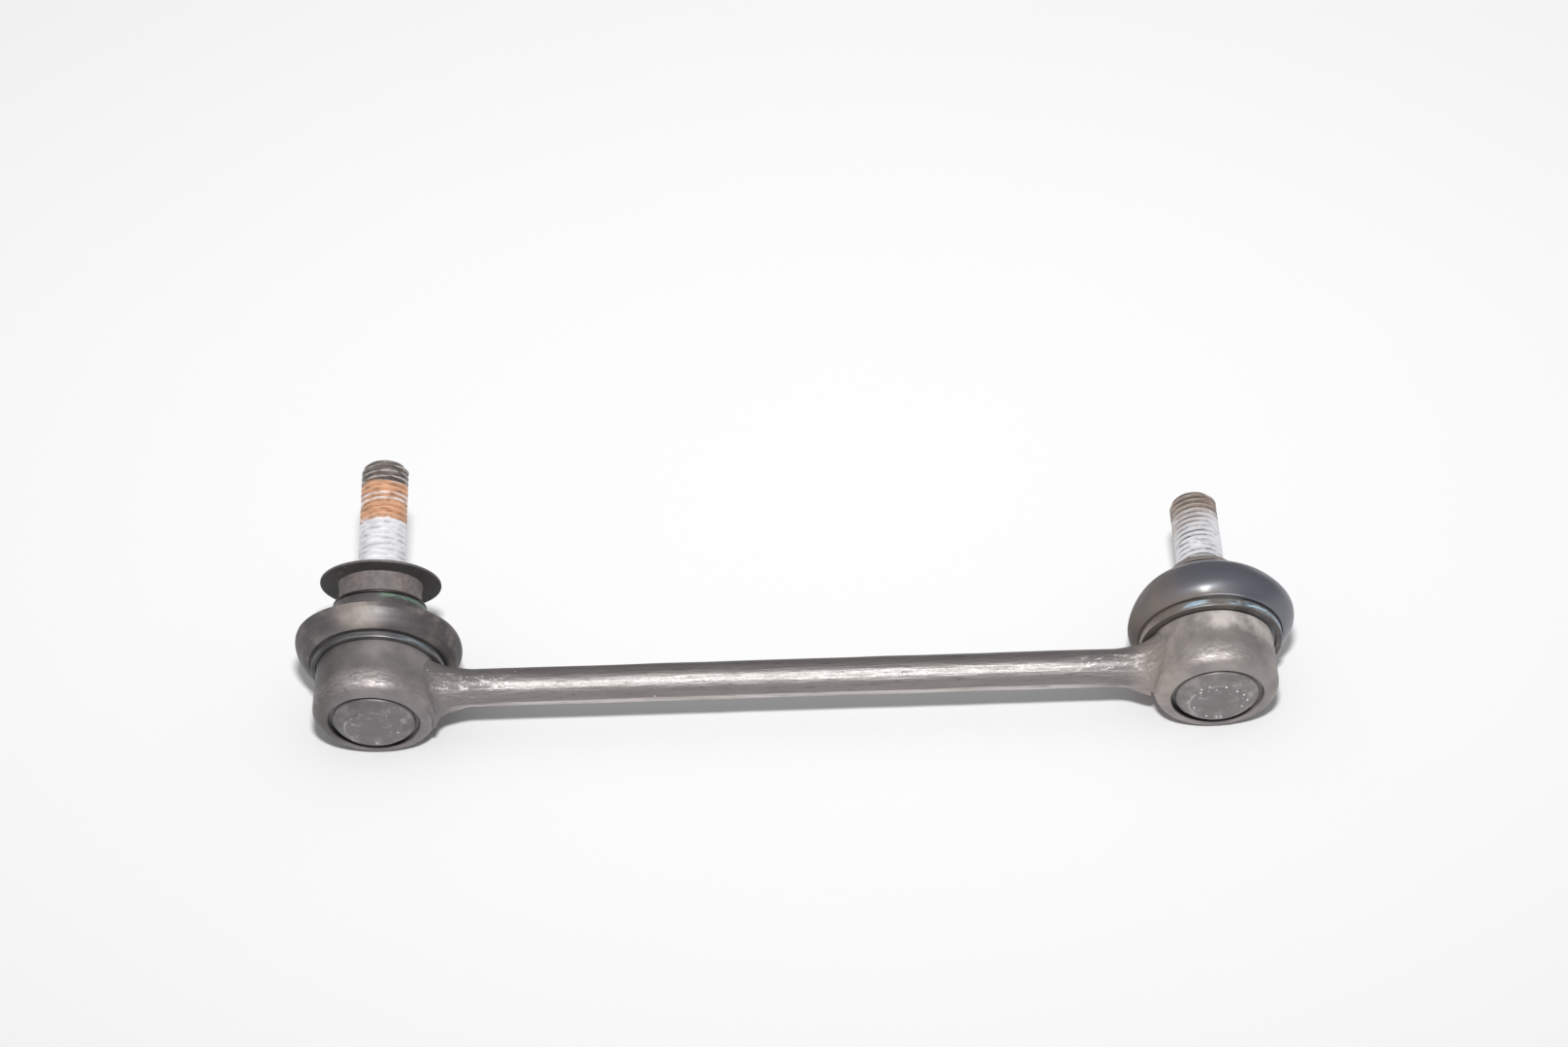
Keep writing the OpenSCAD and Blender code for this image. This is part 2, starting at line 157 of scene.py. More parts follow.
class LinkColours(bpy.types.PropertyGroup):
    """Colours of the finishes, in linear values."""
    rod_dull: colour("Dull rod", "Rod where its skin is whole", (0.228, 0.209, 0.204))
    # Bare steel, also used for painted highlights, glints and the floor's reflection
    bare_steel_and_highlight: colour("Bare steel", "Steel where the skin is worn off", (0.62, 0.57, 0.55))
    # Also paints the highlight along the rod's upper side
    rod_bright: colour("Bright rod", "Rod where it is rubbed", (0.37, 0.347, 0.338))
    left_skin: colour("Left skin", "Skin of the left housing", (0.200, 0.181, 0.181))
    right_skin: colour("Right skin", "Skin of the right housing", (0.262, 0.236, 0.226))
    tan_dust: colour("Tan dust", "Dust that has settled on steel and rubber", (0.40, 0.335, 0.29))
    pale_dust: colour("Pale dust", "Dry dust on the right housing's upper edge", (0.62, 0.57, 0.54))
    left_cap: colour("Left cap", "Pressed sheet of the left end cap", (0.17, 0.16, 0.161))
    right_cap: colour("Right cap", "Pressed sheet of the right end cap", (0.235, 0.218, 0.214))
    zinc: colour("Zinc", "Plating of the threads", (0.90, 0.90, 0.93))
    thread_lock: colour("Thread lock", "Orange patch on the left thread", (0.70, 0.41, 0.26))
    tip_brown: colour("Tip brown", "Dark end of the left thread", (0.13, 0.10, 0.088))
    tip_rust: colour("Tip rust", "Brown end of the right thread", (0.235, 0.175, 0.142))
    collar_brown: colour("Collar brown", "Matte skin of collar, flange and shoulder", (0.122, 0.109, 0.109))
    left_rubber: colour("Left rubber", "Dusty rubber of the left boot", (0.062, 0.056, 0.057))
    right_rubber: colour("Right rubber", "Smooth rubber of the right boot", (0.066, 0.070, 0.090))
    left_band: colour("Left band", "Dark spring steel of the left rings", (0.20, 0.195, 0.20))
    right_band: colour("Right band", "Dusty spring steel of the right rings", (0.24, 0.22, 0.205))
    wire: colour("Wire", "Dark wire of the rings around the lips", (0.055, 0.048, 0.045))
    temper_blue: colour("Temper blue", "Blue sheen on the bands", (0.38, 0.57, 0.76))
    temper_cyan: colour("Temper cyan", "Pale sheen on the bands", (0.60, 0.76, 0.82))
    paint_green: colour("Green mark", "Faint paint streak on the left boot's lip", (0.16, 0.27, 0.19))
    seat_plastic: colour("Seat plastic", "Moulded plastic of the ball seats", (0.80, 0.77, 0.68))
    floor: colour("Floor", "Pale floor under the link", (0.93, 0.93, 0.94))


class StageSettings(bpy.types.PropertyGroup):
    """Camera and light, as fitted to the photograph."""
    lens: number("Lens", "Focal length on a 36 mm sensor, in mm", 64.564)
    yaw: number("Yaw", "Turn of the view, in degrees", -1.129)
    pitch: number("Pitch", "View down on the housings' axis, in degrees", 53.512)
    roll: number("Roll", "Roll of the camera, in degrees", 1.877)
    shift_x: length("Aim right", "Middle of the link, right of the view's middle", 2.013)
    shift_y: length("Aim up", "Middle of the link, above the view's middle", -31.715)
    distance: length("Distance", "Camera's distance from the middle of the link", 577.568)
    flash_rise: length("Flash rise", "Height of the flash over the lens", 122)
    flash_size: length("Flash size", "Diameter of the flash", 55)
    flash_power: number("Flash", "Strength of the flash", 13.5)
    flash_dip: number("Flash dip", "Flash's own axis below the horizon, in degrees", 4.0)
    zenith: number("Zenith", "Strength of the even light from above", 0.46)
    horizon: number("Horizon", "Strength of the even light from the sides", 0.12)


def sizes():
    return bpy.context.scene.link_sizes


def colours():
    return bpy.context.scene.link_colours


class End:
    """One end of the link: the ball's centre, the two axes, and what differs between the ends."""

    def __init__(self, name):
        self.name = name
        self.left = name == "left"
        turn = JOINTS[name + "_swing_direction"]
        self.ball = Vector(turn["pos_m"])
        self.housing_axis = Vector(turn["axis"]).normalized()
        self.stud_axis = Vector(JOINTS[name + "_stud_spin"]["axis"]).normalized()
        self.tilt = math.atan2(
            self.housing_axis.cross(self.stud_axis).x, self.housing_axis.dot(self.stud_axis))
        for key, pair in END_SIZES.items():
            setattr(self, key, pair[ENDS.index(name)])


def placed(point, base, axis):
    """Point of a piece's own frame, in millimetres, moved to its place in the link, in metres."""
    side = axis.cross(WORLD_X)
    return base + (WORLD_X * point[0] + side * point[1] + axis * point[2]) * MM


def smooth_step(value, low, high):
    """Rises smoothly from 0 at low to 1 at high."""
    t = min(1.0, max(0.0, (value - low) / (high - low)))
    return t * t * (3 - 2 * t)


def bell(value, middle, width):
    """1 at the middle, falling away smoothly over the width on both sides."""
    return math.exp(-((value - middle) / width) ** 2)


def bezier(a, b, c, d, steps):
    """Points of a cubic curve after its first one."""
    points = []
    for i in range(1, steps + 1):
        t = i / steps
        s = 1 - t
        points.append(Vector(a) * s ** 3 + Vector(b) * 3 * t * s * s
                      + Vector(c) * 3 * t * t * s + Vector(d) * t ** 3)
    return points


def rounded(points, closed=True, steps=5):
    """Outline with an arc at each corner that names a radius, as points of radius and height."""
    outline = []
    count = len(points)
    for i, point in enumerate(points):
        here = Vector(point[:2])
        radius = point[2] if len(point) > 2 else 0
        if radius == 0 or (not closed and i in (0, count - 1)):
            outline.append(here)
            continue
        before = (Vector(points[i - 1][:2]) - here).normalized()
        after = (Vector(points[(i + 1) % count][:2]) - here).normalized()
        half = before.angle(after) / 2
        reach = radius / math.tan(half)
        centre = here + (before + after).normalized() * (radius / math.sin(half))
        start = here + before * reach - centre
        stop = here + after * reach - centre
        sweep = start.angle_signed(stop)
        for k in range(steps + 1):
            turn = Matrix.Rotation(-sweep * k / steps, 2)
            outline.append(centre + turn @ start)
    return [(p.x, p.y) for p in outline]


def finish_mesh(name, points, faces, local, sharp=40):
    """Object from points in metres, with the piece's own coordinates kept as an attribute."""
    mesh = bpy.data.meshes.new(name)
    mesh.from_pydata([tuple(p) for p in points], [], faces)
    attribute = mesh.attributes.new("local", "FLOAT_VECTOR", "POINT")
    attribute.data.foreach_set("vector", [value for p in local for value in p])
    shell = bmesh.new()
    shell.from_mesh(mesh)
    bmesh.ops.recalc_face_normals(shell, faces=shell.faces)
    shell.to_mesh(mesh)
    shell.free()
    mesh.shade_smooth()
    mesh.set_sharp_from_angle(angle=math.radians(sharp))
    piece = bpy.data.objects.new(name, mesh)
    bpy.context.scene.collection.objects.link(piece)
    return piece


def circle(radius, height, segments):
    """Points of one ring around the axis, or the single point of a pole."""
    if radius < 1e-6:
        return [Vector((0, 0, height))]
    turns = [math.tau * k / segments for k in range(segments)]
    return [Vector((radius * math.cos(turn), radius * math.sin(turn), height)) for turn in turns]


def joined(rows, closed=False):
    """Faces between rows of point numbers, each joined to the next; a row may be a single pole."""
    segments = max(len(row) for row in rows)
    faces = []
    for low, high in zip(rows, rows[1:] + rows[:1] if closed else rows[1:]):
        for k in range(segments):
            after = (k + 1) % segments
            corners = [low[k % len(low)], low[after % len(low)], high[after % len(high)], high[k % len(high)]]
            faces.append(list(dict.fromkeys(corners)))
    return faces


def skinned(name, rings, base, axis, sharp=40):
    """Piece from rings of points in millimetres, closed by poles or by joining the last ring to the first."""
    local = []
    rows = []
    for ring in rings:
        rows.append(range(len(local), len(local) + len(ring)))
        local += ring
    points = [placed(p, base, axis) for p in local]
    return finish_mesh(name, points, joined(rows, closed=len(rings[0]) > 1), local, sharp)


def turned(name, outline, base, axis, shape=None):
    """Closed piece from an outline turned around an axis; shape may move each point, in millimetres."""
    rings = [circle(radius, height, sizes().segments) for radius, height in outline]
    if shape:
        rings = [[shape(p) for p in ring] for ring in rings]
    return skinned(name, rings, base, axis)


def fit(piece, material, body, slot, *nodes):
    """Gives a piece its finish and its body, and hides the CAD nodes that it stands for."""
    piece.data.materials.clear()
    piece.data.materials.append(material)
    if body:
        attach(piece, body)
    if nodes:
        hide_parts(*nodes)
    return piece


class Value:
    """A number that a node tree works out, for use in plain arithmetic."""

    def __init__(self, nodes, socket):
        self.nodes = nodes
        self.socket = socket

    def __add__(self, other):
        return self.nodes.math("ADD", self, other)

    def __sub__(self, other):
        return self.nodes.math("SUBTRACT", self, other)

    def __rsub__(self, other):
        return self.nodes.math("SUBTRACT", other, self)

    def __mul__(self, other):
        return self.nodes.math("MULTIPLY", self, other)

    def __truediv__(self, other):
        return self.nodes.math("DIVIDE", self, other)

    __radd__ = __add__
    __rmul__ = __mul__


class Nodes:
    """A node tree, with short calls for what finishes, grown shapes and lights share."""

    def __init__(self, tree):
        self.tree = tree

    def node(self, kind, settings=None, **inputs):
        """A new node; settings are its own, inputs its sockets by name with underscores for spaces."""
        made = self.tree.nodes.new(kind)
        for key, value in (settings or {}).items():
            setattr(made, key, value)
        for key, value in inputs.items():
            self.feed(made.inputs[key.replace("_", " ")], value)
        return made

    def feed(self, socket, value):
        """Links a socket to what another node gives, or sets it."""
        if isinstance(value, Value):
            value = value.socket
        if isinstance(value, bpy.types.NodeSocket):
            self.tree.links.new(value, socket)
        elif socket.type == "RGBA":
            socket.default_value = (*value, 1)
        else:
            socket.default_value = value

    def math(self, operation, first, second=0.0, clamp=False):
        made = self.node("ShaderNodeMath", {"operation": operation, "use_clamp": clamp})
        self.feed(made.inputs[0], first)
        self.feed(made.inputs[1], second)
        return Value(self, made.outputs[0])

    def most(self, first, second):
        return self.math("MAXIMUM", first, second)

    def least(self, first, second):
        return self.math("MINIMUM", first, second)

    def clamped(self, value):
        """A value kept between 0 and 1."""
        return self.math("ADD", value, 0.0, clamp=True)

    def level(self, factor, low, high):
        """Value that goes from low to high with the factor."""
        made = self.node("ShaderNodeMapRange", Value=factor, To_Min=low, To_Max=high)
        return Value(self, made.outputs["Result"])

    def parts(self, vector):
        """The three values of a vector."""
        return [Value(self, socket) for socket in self.node("ShaderNodeSeparateXYZ", Vector=vector).outputs]

    def vector(self, x, y, z):
        return self.node("ShaderNodeCombineXYZ", X=x, Y=y, Z=z).outputs[0]


def shade(tone, factor):
    """A tone made darker or lighter."""
    return [min(1.0, c * factor) for c in tone]


class Finish(Nodes):
    """A material whose patterns lie on the piece's own coordinates, in millimetres."""

    def __init__(self, name):
        self.material = bpy.data.materials.new(name)
        self.material.use_nodes = True
        super().__init__(self.material.node_tree)
        self.surface = self.tree.nodes["Principled BSDF"]
        self.local = self.node("ShaderNodeAttribute", {"attribute_name": "local"}).outputs["Vector"]
        self.x, self.y, self.height = self.parts(self.local)
        self.radius = self.math("SQRT", self.x * self.x + self.y * self.y)

    def set(self, **values):
        """Sets the shader's own sockets, by their names in lower case with underscores."""
        for key, value in values.items():
            name = key.replace("_", " ").title().replace("Ior", "IOR")
            self.feed(self.surface.inputs[name], value)

    def around(self, radius):
        """Coordinates along the circumference and the axis, in millimetres, with the seam underneath."""
        angle = self.math("ARCTAN2", self.x, self.y * -1.0)
        return self.vector(angle * radius, self.height, 0.0)

    def noise(self, vector, scale, detail=4.0, roughness=0.55, distortion=0.0):
        """Cloudy pattern; scale is one number or one for each direction."""
        if isinstance(scale, tuple):
            stretched = self.node("ShaderNodeVectorMath", {"operation": "MULTIPLY"})
            self.feed(stretched.inputs[0], vector)
            self.feed(stretched.inputs[1], scale)
            vector = stretched.outputs[0]
            scale = 1.0
        made = self.node("ShaderNodeTexNoise", Vector=vector, Scale=scale, Detail=detail, Roughness=roughness,
                         Distortion=distortion)
        return Value(self, made.outputs["Fac"])

    def band(self, value, low, high):
        """Rises smoothly from 0 at low to 1 at high, or falls where low is the larger."""
        made = self.node("ShaderNodeMapRange", {"interpolation_type": "SMOOTHSTEP"},
                         Value=value, From_Min=low, From_Max=high)
        return Value(self, made.outputs["Result"])

    def span(self, value, low, high, soft):
        """1 between low and high, with soft edges."""
        rise = self.band(value, low - soft, low + soft)
        fall = self.band(value, high - soft, high + soft)
        return self.clamped(rise - fall)

    def mix(self, factor, first, second):
        """Colour that goes from the first to the second with the factor."""
        made = self.node("ShaderNodeMix", {"data_type": "RGBA"})
        for index, value in ((0, factor), (6, first), (7, second)):
            self.feed(made.inputs[index], value)
        return made.outputs[2]

    def varied(self, factor, tone, low, high):
        """A tone that goes from low times to high times itself with the factor."""
        return self.mix(factor, shade(tone, low), shade(tone, high))

    def specks(self, spacing, size, share):
        """Sparse grains: at most one to a cell of that spacing, in millimetres, in a share of the cells."""
        cells = self.node("ShaderNodeTexVoronoi", Vector=self.local, Scale=1 / spacing)
        grain = self.band(cells.outputs["Distance"], size / spacing, 0.6 * size / spacing)
        chance = self.node("ShaderNodeSeparateColor", Color=cells.outputs["Color"])
        return grain * self.math("LESS_THAN", chance.outputs[0], share)

    def shaded_side(self):
        """Rises from 0 to 1 towards the side where shade is painted: underneath, and more so towards negative
        x.
        """
        return self.band(self.y - self.x * 0.35, 0.5, 7.5)

    def bump(self, height, depth_mm):
        made = self.node("ShaderNodeBump", Height=height, Distance=depth_mm * MM, Strength=1.0)
        self.feed(self.surface.inputs["Normal"], made.outputs["Normal"])


def rod_finish():
    """Drawn bar: dull steel rubbed brighter in streaks along its length, and duller near its ends, with a
    painted highlight along its upper side, a painted reflection of the floor along its underside and painted
    glints near its ends.
    """
    look = Finish("rod_steel")
    tone = colours()
    streaks = look.noise(look.local, (0.05, 1.1, 1.1), 6.0, 0.62)
    patches = look.noise(look.local, (0.09, 0.3, 0.3), 3.0, 0.5)
    # Degrees around the bar, 0 towards the caps and 90 on top; two stretches along it are painted brighter: a
    # highlight on the upper side mixed with rubbed streaks, and a reflection of the floor along the underside
    turn = look.math("ARCTAN2", look.height, look.y * -1.0) * math.degrees(1) + (patches - 0.5) * 14.0
    rubbed_and_highlight = look.span(turn, 47.0, 80.0, 7.0)
    floor_reflection = look.span(turn, -26.0, 3.0, 4.0)
    wear = streaks + patches * 0.5
    worn_and_highlight = look.band(wear, 0.52, 0.92) * look.level(rubbed_and_highlight, 0.3, 1.0)
    worn_and_highlight = look.most(worn_and_highlight, rubbed_and_highlight * look.band(wear, 0.42, 0.8))
    bar = look.mix(worn_and_highlight, tone.rod_dull, tone.rod_bright)
    bar = look.mix(floor_reflection * look.level(look.band(wear, 0.5, 0.9), 0.55, 1.0), bar, tone.bare_steel_and_highlight)
    nicks = look.noise(look.local, (0.22, 1.9, 1.9), 5.0, 0.65)
    bar = look.mix(look.band(nicks, 0.56, 0.70) * 0.7, bar, shade(tone.rod_dull, 0.55))
    on_right = look.band(look.x, -1.0, 1.0)
    reach = look.math("ABSOLUTE", look.x)
    ends = look.band(reach, 54.0, 68.0)
    at_wall = look.band(reach, 66.0, 72.5)
    dusty = look.mix(0.35, tone.right_skin, tone.tan_dust)
    skin = look.mix(on_right, tone.left_skin, look.mix(at_wall, tone.right_skin, dusty))
    blotches = look.band(patches, 0.7, 0.3) * look.level(at_wall, 0.8, 0.0)
    skin = look.mix(blotches, skin, shade(tone.left_skin, 0.75))
    dull = look.most(ends * look.band(streaks, 0.62, 0.44), at_wall)
    bar = look.mix(dull, bar, skin)
    # Crumpled skin at the ends, with painted glints on its upper side
    folds = look.noise(look.local, (0.55, 1.0, 1.0), 5.0, 0.65)
    sparkle = look.span(turn, 50.0, 98.0, 8.0) * look.span(reach, 58.0, 73.0, 3.0)
    sparkle = sparkle * look.band(folds, 0.52, 0.60) * 0.9
    bar = look.mix(sparkle, bar, tone.bare_steel_and_highlight)
    shine = look.most(worn_and_highlight, look.most(sparkle, ends * 0.5))
    look.set(base_color=look.mix(look.specks(2.2, 0.2, 0.12), bar, GRAIN),
             metallic=look.clamped(look.level(dull, 0.82, 0.34) + sparkle * 0.5),
             roughness=look.level(shine, 0.53, 0.45))
    look.bump(nicks + streaks * 1.4 + folds * ends * 4.0, 0.11)
    return look.material


def housing_finish(name, skin_tone, dust):
    """Forged housing: satin skin, a little rubbed on the rolled corner, with a painted highlight on the
    corner's upper side and painted shade on the side away from the rod and inside the lip; dust is how much
    of it lies dusty.
    """
    look = Finish(name)
    tone = colours()
    around = look.around(sizes().housing_r / MM)
    scratches = look.noise(around, (0.55, 3.4, 1.0), 5.0, 0.66, 0.7)
    mottle = look.noise(look.local, 0.15, 5.0, 0.58)
    skin = look.varied(look.band(mottle, 0.3, 0.7), skin_tone, 0.84, 1.22)
    # Painted shade: the side away from the rod is darker on the left housing
    far_side_shade = look.band(look.x, -3.5, -10.5) * (0.85 * (1 - dust))
    skin = look.mix(far_side_shade, skin, shade(skin_tone, 0.28))
    # Painted highlight with wear: the rolled corner's upper side turns to bare steel
    corner = look.span(look.height, -6.6, -3.2, 1.4)
    highlight_side = look.span(look.x, -6.0, 4.0, 3.4) * look.band(look.y, -4.5, -10.0)
    rubbed_and_highlight = corner * look.level(highlight_side, 0.25, 1.0)
    worn_and_highlight = rubbed_and_highlight * look.level(look.band(scratches, 0.42, 0.58), 0.22, 1.0)
    body = look.mix(worn_and_highlight, skin, tone.bare_steel_and_highlight)
    cloud = look.noise(look.local, 0.27, 6.0, 0.6)
    upper = look.band(look.height + cloud * 6.0, 2.4, 6.6)
    pale = upper * look.level(look.band(cloud, 0.30, 0.62), 0.4, 0.9) * dust
    pale = pale * look.level(look.band(look.x, -8.0, 1.0), 0.2, 1.0)
    body = look.mix(pale, body, tone.pale_dust)
    rod_side = look.band(look.x, -4.0, -11.0)
    tan = rod_side * look.band(cloud, 0.34, 0.62) * (0.5 * dust)
    body = look.mix(tan, body, tone.tan_dust)
    body = look.mix(look.specks(2.0, 0.19, 0.24), body, GRAIN)
    # Painted shade on the lip's inner side, most of all underneath
    inside = look.band(look.radius, 9.62, 9.36) * look.band(look.height, -5.8, -6.0)
    painted_shade = inside * look.level(look.shaded_side(), 0.15, 1.0)
    body = look.mix(painted_shade, body, SHADE_TONE)
    cover = look.clamped(pale + tan + painted_shade)
    look.set(base_color=body, metallic=(0.36 + worn_and_highlight * 0.5) * (1.0 - cover),
             roughness=look.level(rubbed_and_highlight, 0.47, 0.41))
    fine = look.noise(look.local, 1.1, 5.0, 0.6)
    cuts = scratches * look.level(rubbed_and_highlight, 0.2, 1.9)
    look.bump(fine * 0.8 + cuts, 0.08)
    return look.material


def cap_finish(name, sheet_tone, sparkle):
    """Pressed sheet: dull, with bright grains along the edge of its disc, that edge painted lighter as partly
    rubbed steel and partly a highlight, and painted shade in the gap around the dome; sparkle is how many
    grains.
    """
    look = Finish(name)
    radius = look.radius
    mottle = look.noise(look.local, 0.30, 4.0, 0.55)
    scuffs = look.noise(look.local, (0.5, 0.24, 0.5), 3.0, 0.55, 0.5)
    sheet = look.varied(look.band(mottle, 0.3, 0.7), sheet_tone, 0.80, 1.24)
    disc = look.band(radius + mottle * 0.6, 6.3, 5.9)
    sheet = look.mix(disc * 0.6, sheet, shade(colours().left_cap, 0.95))
    # The disc's edge painted lighter: partly rubbed, partly a painted highlight
    edge = look.span(radius + scuffs * 0.9, 6.05, 6.4, 0.16)
    rubbed_and_highlight = edge * look.band(mottle - look.x * 0.02, 0.47, 0.62)
    sheet = look.mix(rubbed_and_highlight * 0.6, sheet, (0.50, 0.48, 0.48))
    lines = look.span(scuffs, 0.52, 0.535, 0.01) * look.band(mottle, 0.46, 0.6)
    sheet = look.mix(lines * 0.8, sheet, (0.55, 0.53, 0.52))
    grains = look.specks(0.8, 0.28, sparkle) * look.span(radius, 4.9, 6.2, 0.3)
    grains = look.clamped(grains + look.specks(2.4, 0.18, 0.14))
    sheet = look.mix(grains, sheet, (0.95, 0.94, 0.92))
    # Painted shade in the gap around the dome, most of all underneath
    painted_shade = look.band(radius, 8.40, 8.60) * look.level(look.shaded_side(), 0.2, 1.0)
    look.set(base_color=look.mix(painted_shade, sheet, SHADE_TONE), metallic=look.level(painted_shade, 0.42, 0.0),
             roughness=0.5)
    look.bump(look.noise(look.local, 0.7, 4.0, 0.55), 0.06)
    return look.material


def stud_finish(end):
    """Stud along its length: brown skin up to the seat face, zinc thread, thread lock and a dark tip."""
    look = Finish(end.name + "_stud_steel")
    tone = colours()
    around = look.around(sizes().thread_r / MM)
    drift = look.noise(around, (0.16, 0.3, 1.0), 5.0, 0.65)
    height = look.height + (drift - 0.5) * 4.2
    scuffs = look.noise(around, (0.30, 2.2, 1.0), 5.0, 0.6)
    plating = look.band(scuffs, 0.30, 0.50)
    shaft = look.radius
    if end.left:
        zinc = look.varied(plating, tone.zinc, 0.76, 1.0)
        bare = look.span(look.height + drift * 1.6, 42.2, 44.1, 0.25) * look.band(scuffs, 0.40, 0.52)
        bare = bare * look.band(shaft, 4.55, 4.80)
        patch = look.clamped(look.span(height, 37.4, 46.4, 0.35) - bare)
        lock = look.varied(look.band(scuffs, 0.30, 0.56), tone.thread_lock, 0.50, 1.10)
        shank = look.mix(patch, zinc, lock)
        tip = look.band(height, 45.9, 46.6) * 0.92
        tip_tone = look.varied(look.band(scuffs, 0.42, 0.66), tone.tip_brown, 0.6, 2.2)
        crest_tone = (0.60, 0.56, 0.53)
        depth = look.level(look.band(drift, 0.36, 0.62), 0.04, 0.36)
    else:
        zinc = look.varied(plating, tone.zinc, 0.56, 0.93)
        patch = look.band(height + look.x * -0.5, 31.0, 37.5) * look.band(scuffs, 0.36, 0.56)
        shank = look.mix(patch * 0.7, zinc, shade(tone.tip_rust, 1.5))
        tip = look.band(height, 36.2, 38.6) * 0.9
        tip_tone = look.varied(look.band(scuffs, 0.36, 0.68), tone.tip_rust, 0.72, 1.7)
        crest_tone = (0.46, 0.41, 0.38)
        depth = look.level(look.band(drift - look.x * 0.03, 0.36, 0.62), 0.12, 0.85)
    # Lighter crests at the tip: partly rubbed steel, partly a painted highlight
    crests = look.band(shaft, 4.74, 4.92) * look.band(scuffs, 0.40, 0.56)
    shank = look.mix(tip, shank, look.mix(crests * 0.85, tip_tone, crest_tone))
    # Painted shade in the roots of the thread
    shank = look.mix(look.band(shaft, 4.62, 4.32) * depth, shank, (0.06, 0.053, 0.05))
    # Bare dark steel inside the socket
    shank = look.mix(look.band(shaft, 3.2, 2.9), shank, tone.tip_brown)
    grain = look.noise(look.local, 0.7, 6.0, 0.6)
    skin = look.varied(look.band(grain, 0.3, 0.72), tone.collar_brown, 0.75, 1.35)
    smear = look.band(look.noise(look.local, 0.24, 4.0, 0.6), 0.5, 0.75) * 0.35
    skin = look.mix(smear, skin, tone.tan_dust)
    if end.left:
        # Painted shade on the flange's underside
        flange_underside_shade = look.band(shaft, 8.7, 9.0) * look.band(look.height, 23.75, 23.55)
        skin = look.mix(look.band(shaft, 8.8, 8.65) * 0.14, skin, tone.tan_dust)
        skin = look.mix(flange_underside_shade * 0.75, skin, shade(tone.collar_brown, 0.25))
    else:
        skin = look.mix(0.24, skin, tone.tan_dust)
    skin = look.mix(look.specks(1.9, 0.17, 0.2), skin, DULL_GRAIN)
    on_thread = look.band(look.height, end.seat_face - 0.12, end.seat_face + 0.12)
    look.set(base_color=look.mix(on_thread, skin, shank),
             metallic=on_thread * look.level(look.most(patch, tip), 0.25, 0.1),
             roughness=look.level(on_thread, 0.6, 0.42))
    look.bump(scuffs + grain, 0.06)
    return look.material


def left_boot_finish():
    """Dusty rubber with a satin sheen, a green streak on the lip, light grains and a light patch on its upper
    side, partly dust and partly a painted highlight.
    """
    look = Finish("boot_rubber_dusty")
    tone = colours()
    around = look.around(10.0)
    wipes = look.noise(around, (0.10, 1.1, 1.0), 5.0, 0.6)
    rubber = look.varied(look.band(wipes, 0.32, 0.68), tone.left_rubber, 0.8, 1.25)
    cloud = look.noise(look.local, 0.22, 6.0, 0.62)
    dust = look.band(cloud, 0.45, 0.75) * 0.30
    # A light patch on the upper side, towards the link's end: partly dust, partly a painted highlight
    upper = look.band(look.y, -12.8, -15.4) * look.span(look.x, -6.6, 1.8, 3.2)
    dust_and_highlight = upper * look.level(look.band(cloud, 0.36, 0.60), 0.4, 0.7)
    body = look.mix(look.most(dust, dust_and_highlight), rubber, tone.tan_dust)
    streak = look.span(look.height, 12.3, 17.6, 0.6) * look.span(look.x, 1.6, 10.4, 1.2)
    streak = streak * look.math("LESS_THAN", look.radius, 16.0) * look.math("LESS_THAN", look.y, -3.0)
    # Follows the lip, which leans with the stud
    slope = -math.tan(math.radians(12))
    streak = streak * look.span(look.height + look.y * slope, 17.5, 18.6, 0.25)
    flakes = look.noise(around, (0.4, 1.4, 1.0), 5.0, 0.65)
    streak = streak * look.level(look.band(flakes, 0.40, 0.58), 0.12, 0.8)
    body = look.mix(streak, body, tone.paint_green)
    body = look.mix(look.specks(2.2, 0.18, 0.14), body, DULL_GRAIN)
    sheen = look.level(look.band(look.x, 5.0, -2.0), 0.4, 1.0)
    sheen = sheen * look.level(look.band(look.x, -14.5, -8.0), 0.4, 1.0)
    look.set(base_color=body, metallic=0.0, ior=1.6, specular_ior_level=sheen,
             roughness=look.level(look.band(wipes, 0.3, 0.7), 0.54, 0.44))
    look.bump(look.noise(look.local, 0.9, 4.0, 0.55), 0.03)
    return look.material


def right_boot_finish():
    """Smooth blue-grey rubber with brown dust on the side towards the rod and a painted highlight along its
    lower edge.
    """
    look = Finish("boot_rubber")
    tone = colours()
    cloud = look.noise(look.local, 0.2, 5.0, 0.6)
    side = look.band(look.x + (cloud - 0.5) * 9.0, -3.5, -12.0)
    low = look.band(look.height, 8.4, 7.2) * look.band(look.x, 7.0, -5.0)
    dust = look.most(side, low) * look.level(look.band(cloud, 0.26, 0.6), 0.55, 0.95)
    body = look.mix(dust, tone.right_rubber, shade(tone.tan_dust, 0.40))
    # Painted highlight: a light line along the bulge's lower edge, near the middle
    rim = look.span(look.height, 6.95, 7.08, 0.05) * look.band(look.radius, 13.6, 14.2)
    rim = rim * look.span(look.x, -2.6, 5.0, 1.6)
    body = look.mix(rim * 0.8, body, (0.42, 0.42, 0.44))
    body = look.mix(look.specks(2.4, 0.18, 0.14), body, (0.5, 0.5, 0.51))
    look.set(base_color=body, metallic=0.0, roughness=look.level(dust, 0.46, 0.7),
             specular_ior_level=look.level(dust, 1.0, 0.35), coat_weight=look.level(dust, 0.45, 0.0),
             coat_roughness=0.24)
    look.bump(look.noise(look.local, 0.6, 4.0, 0.5), 0.04)
    return look.material


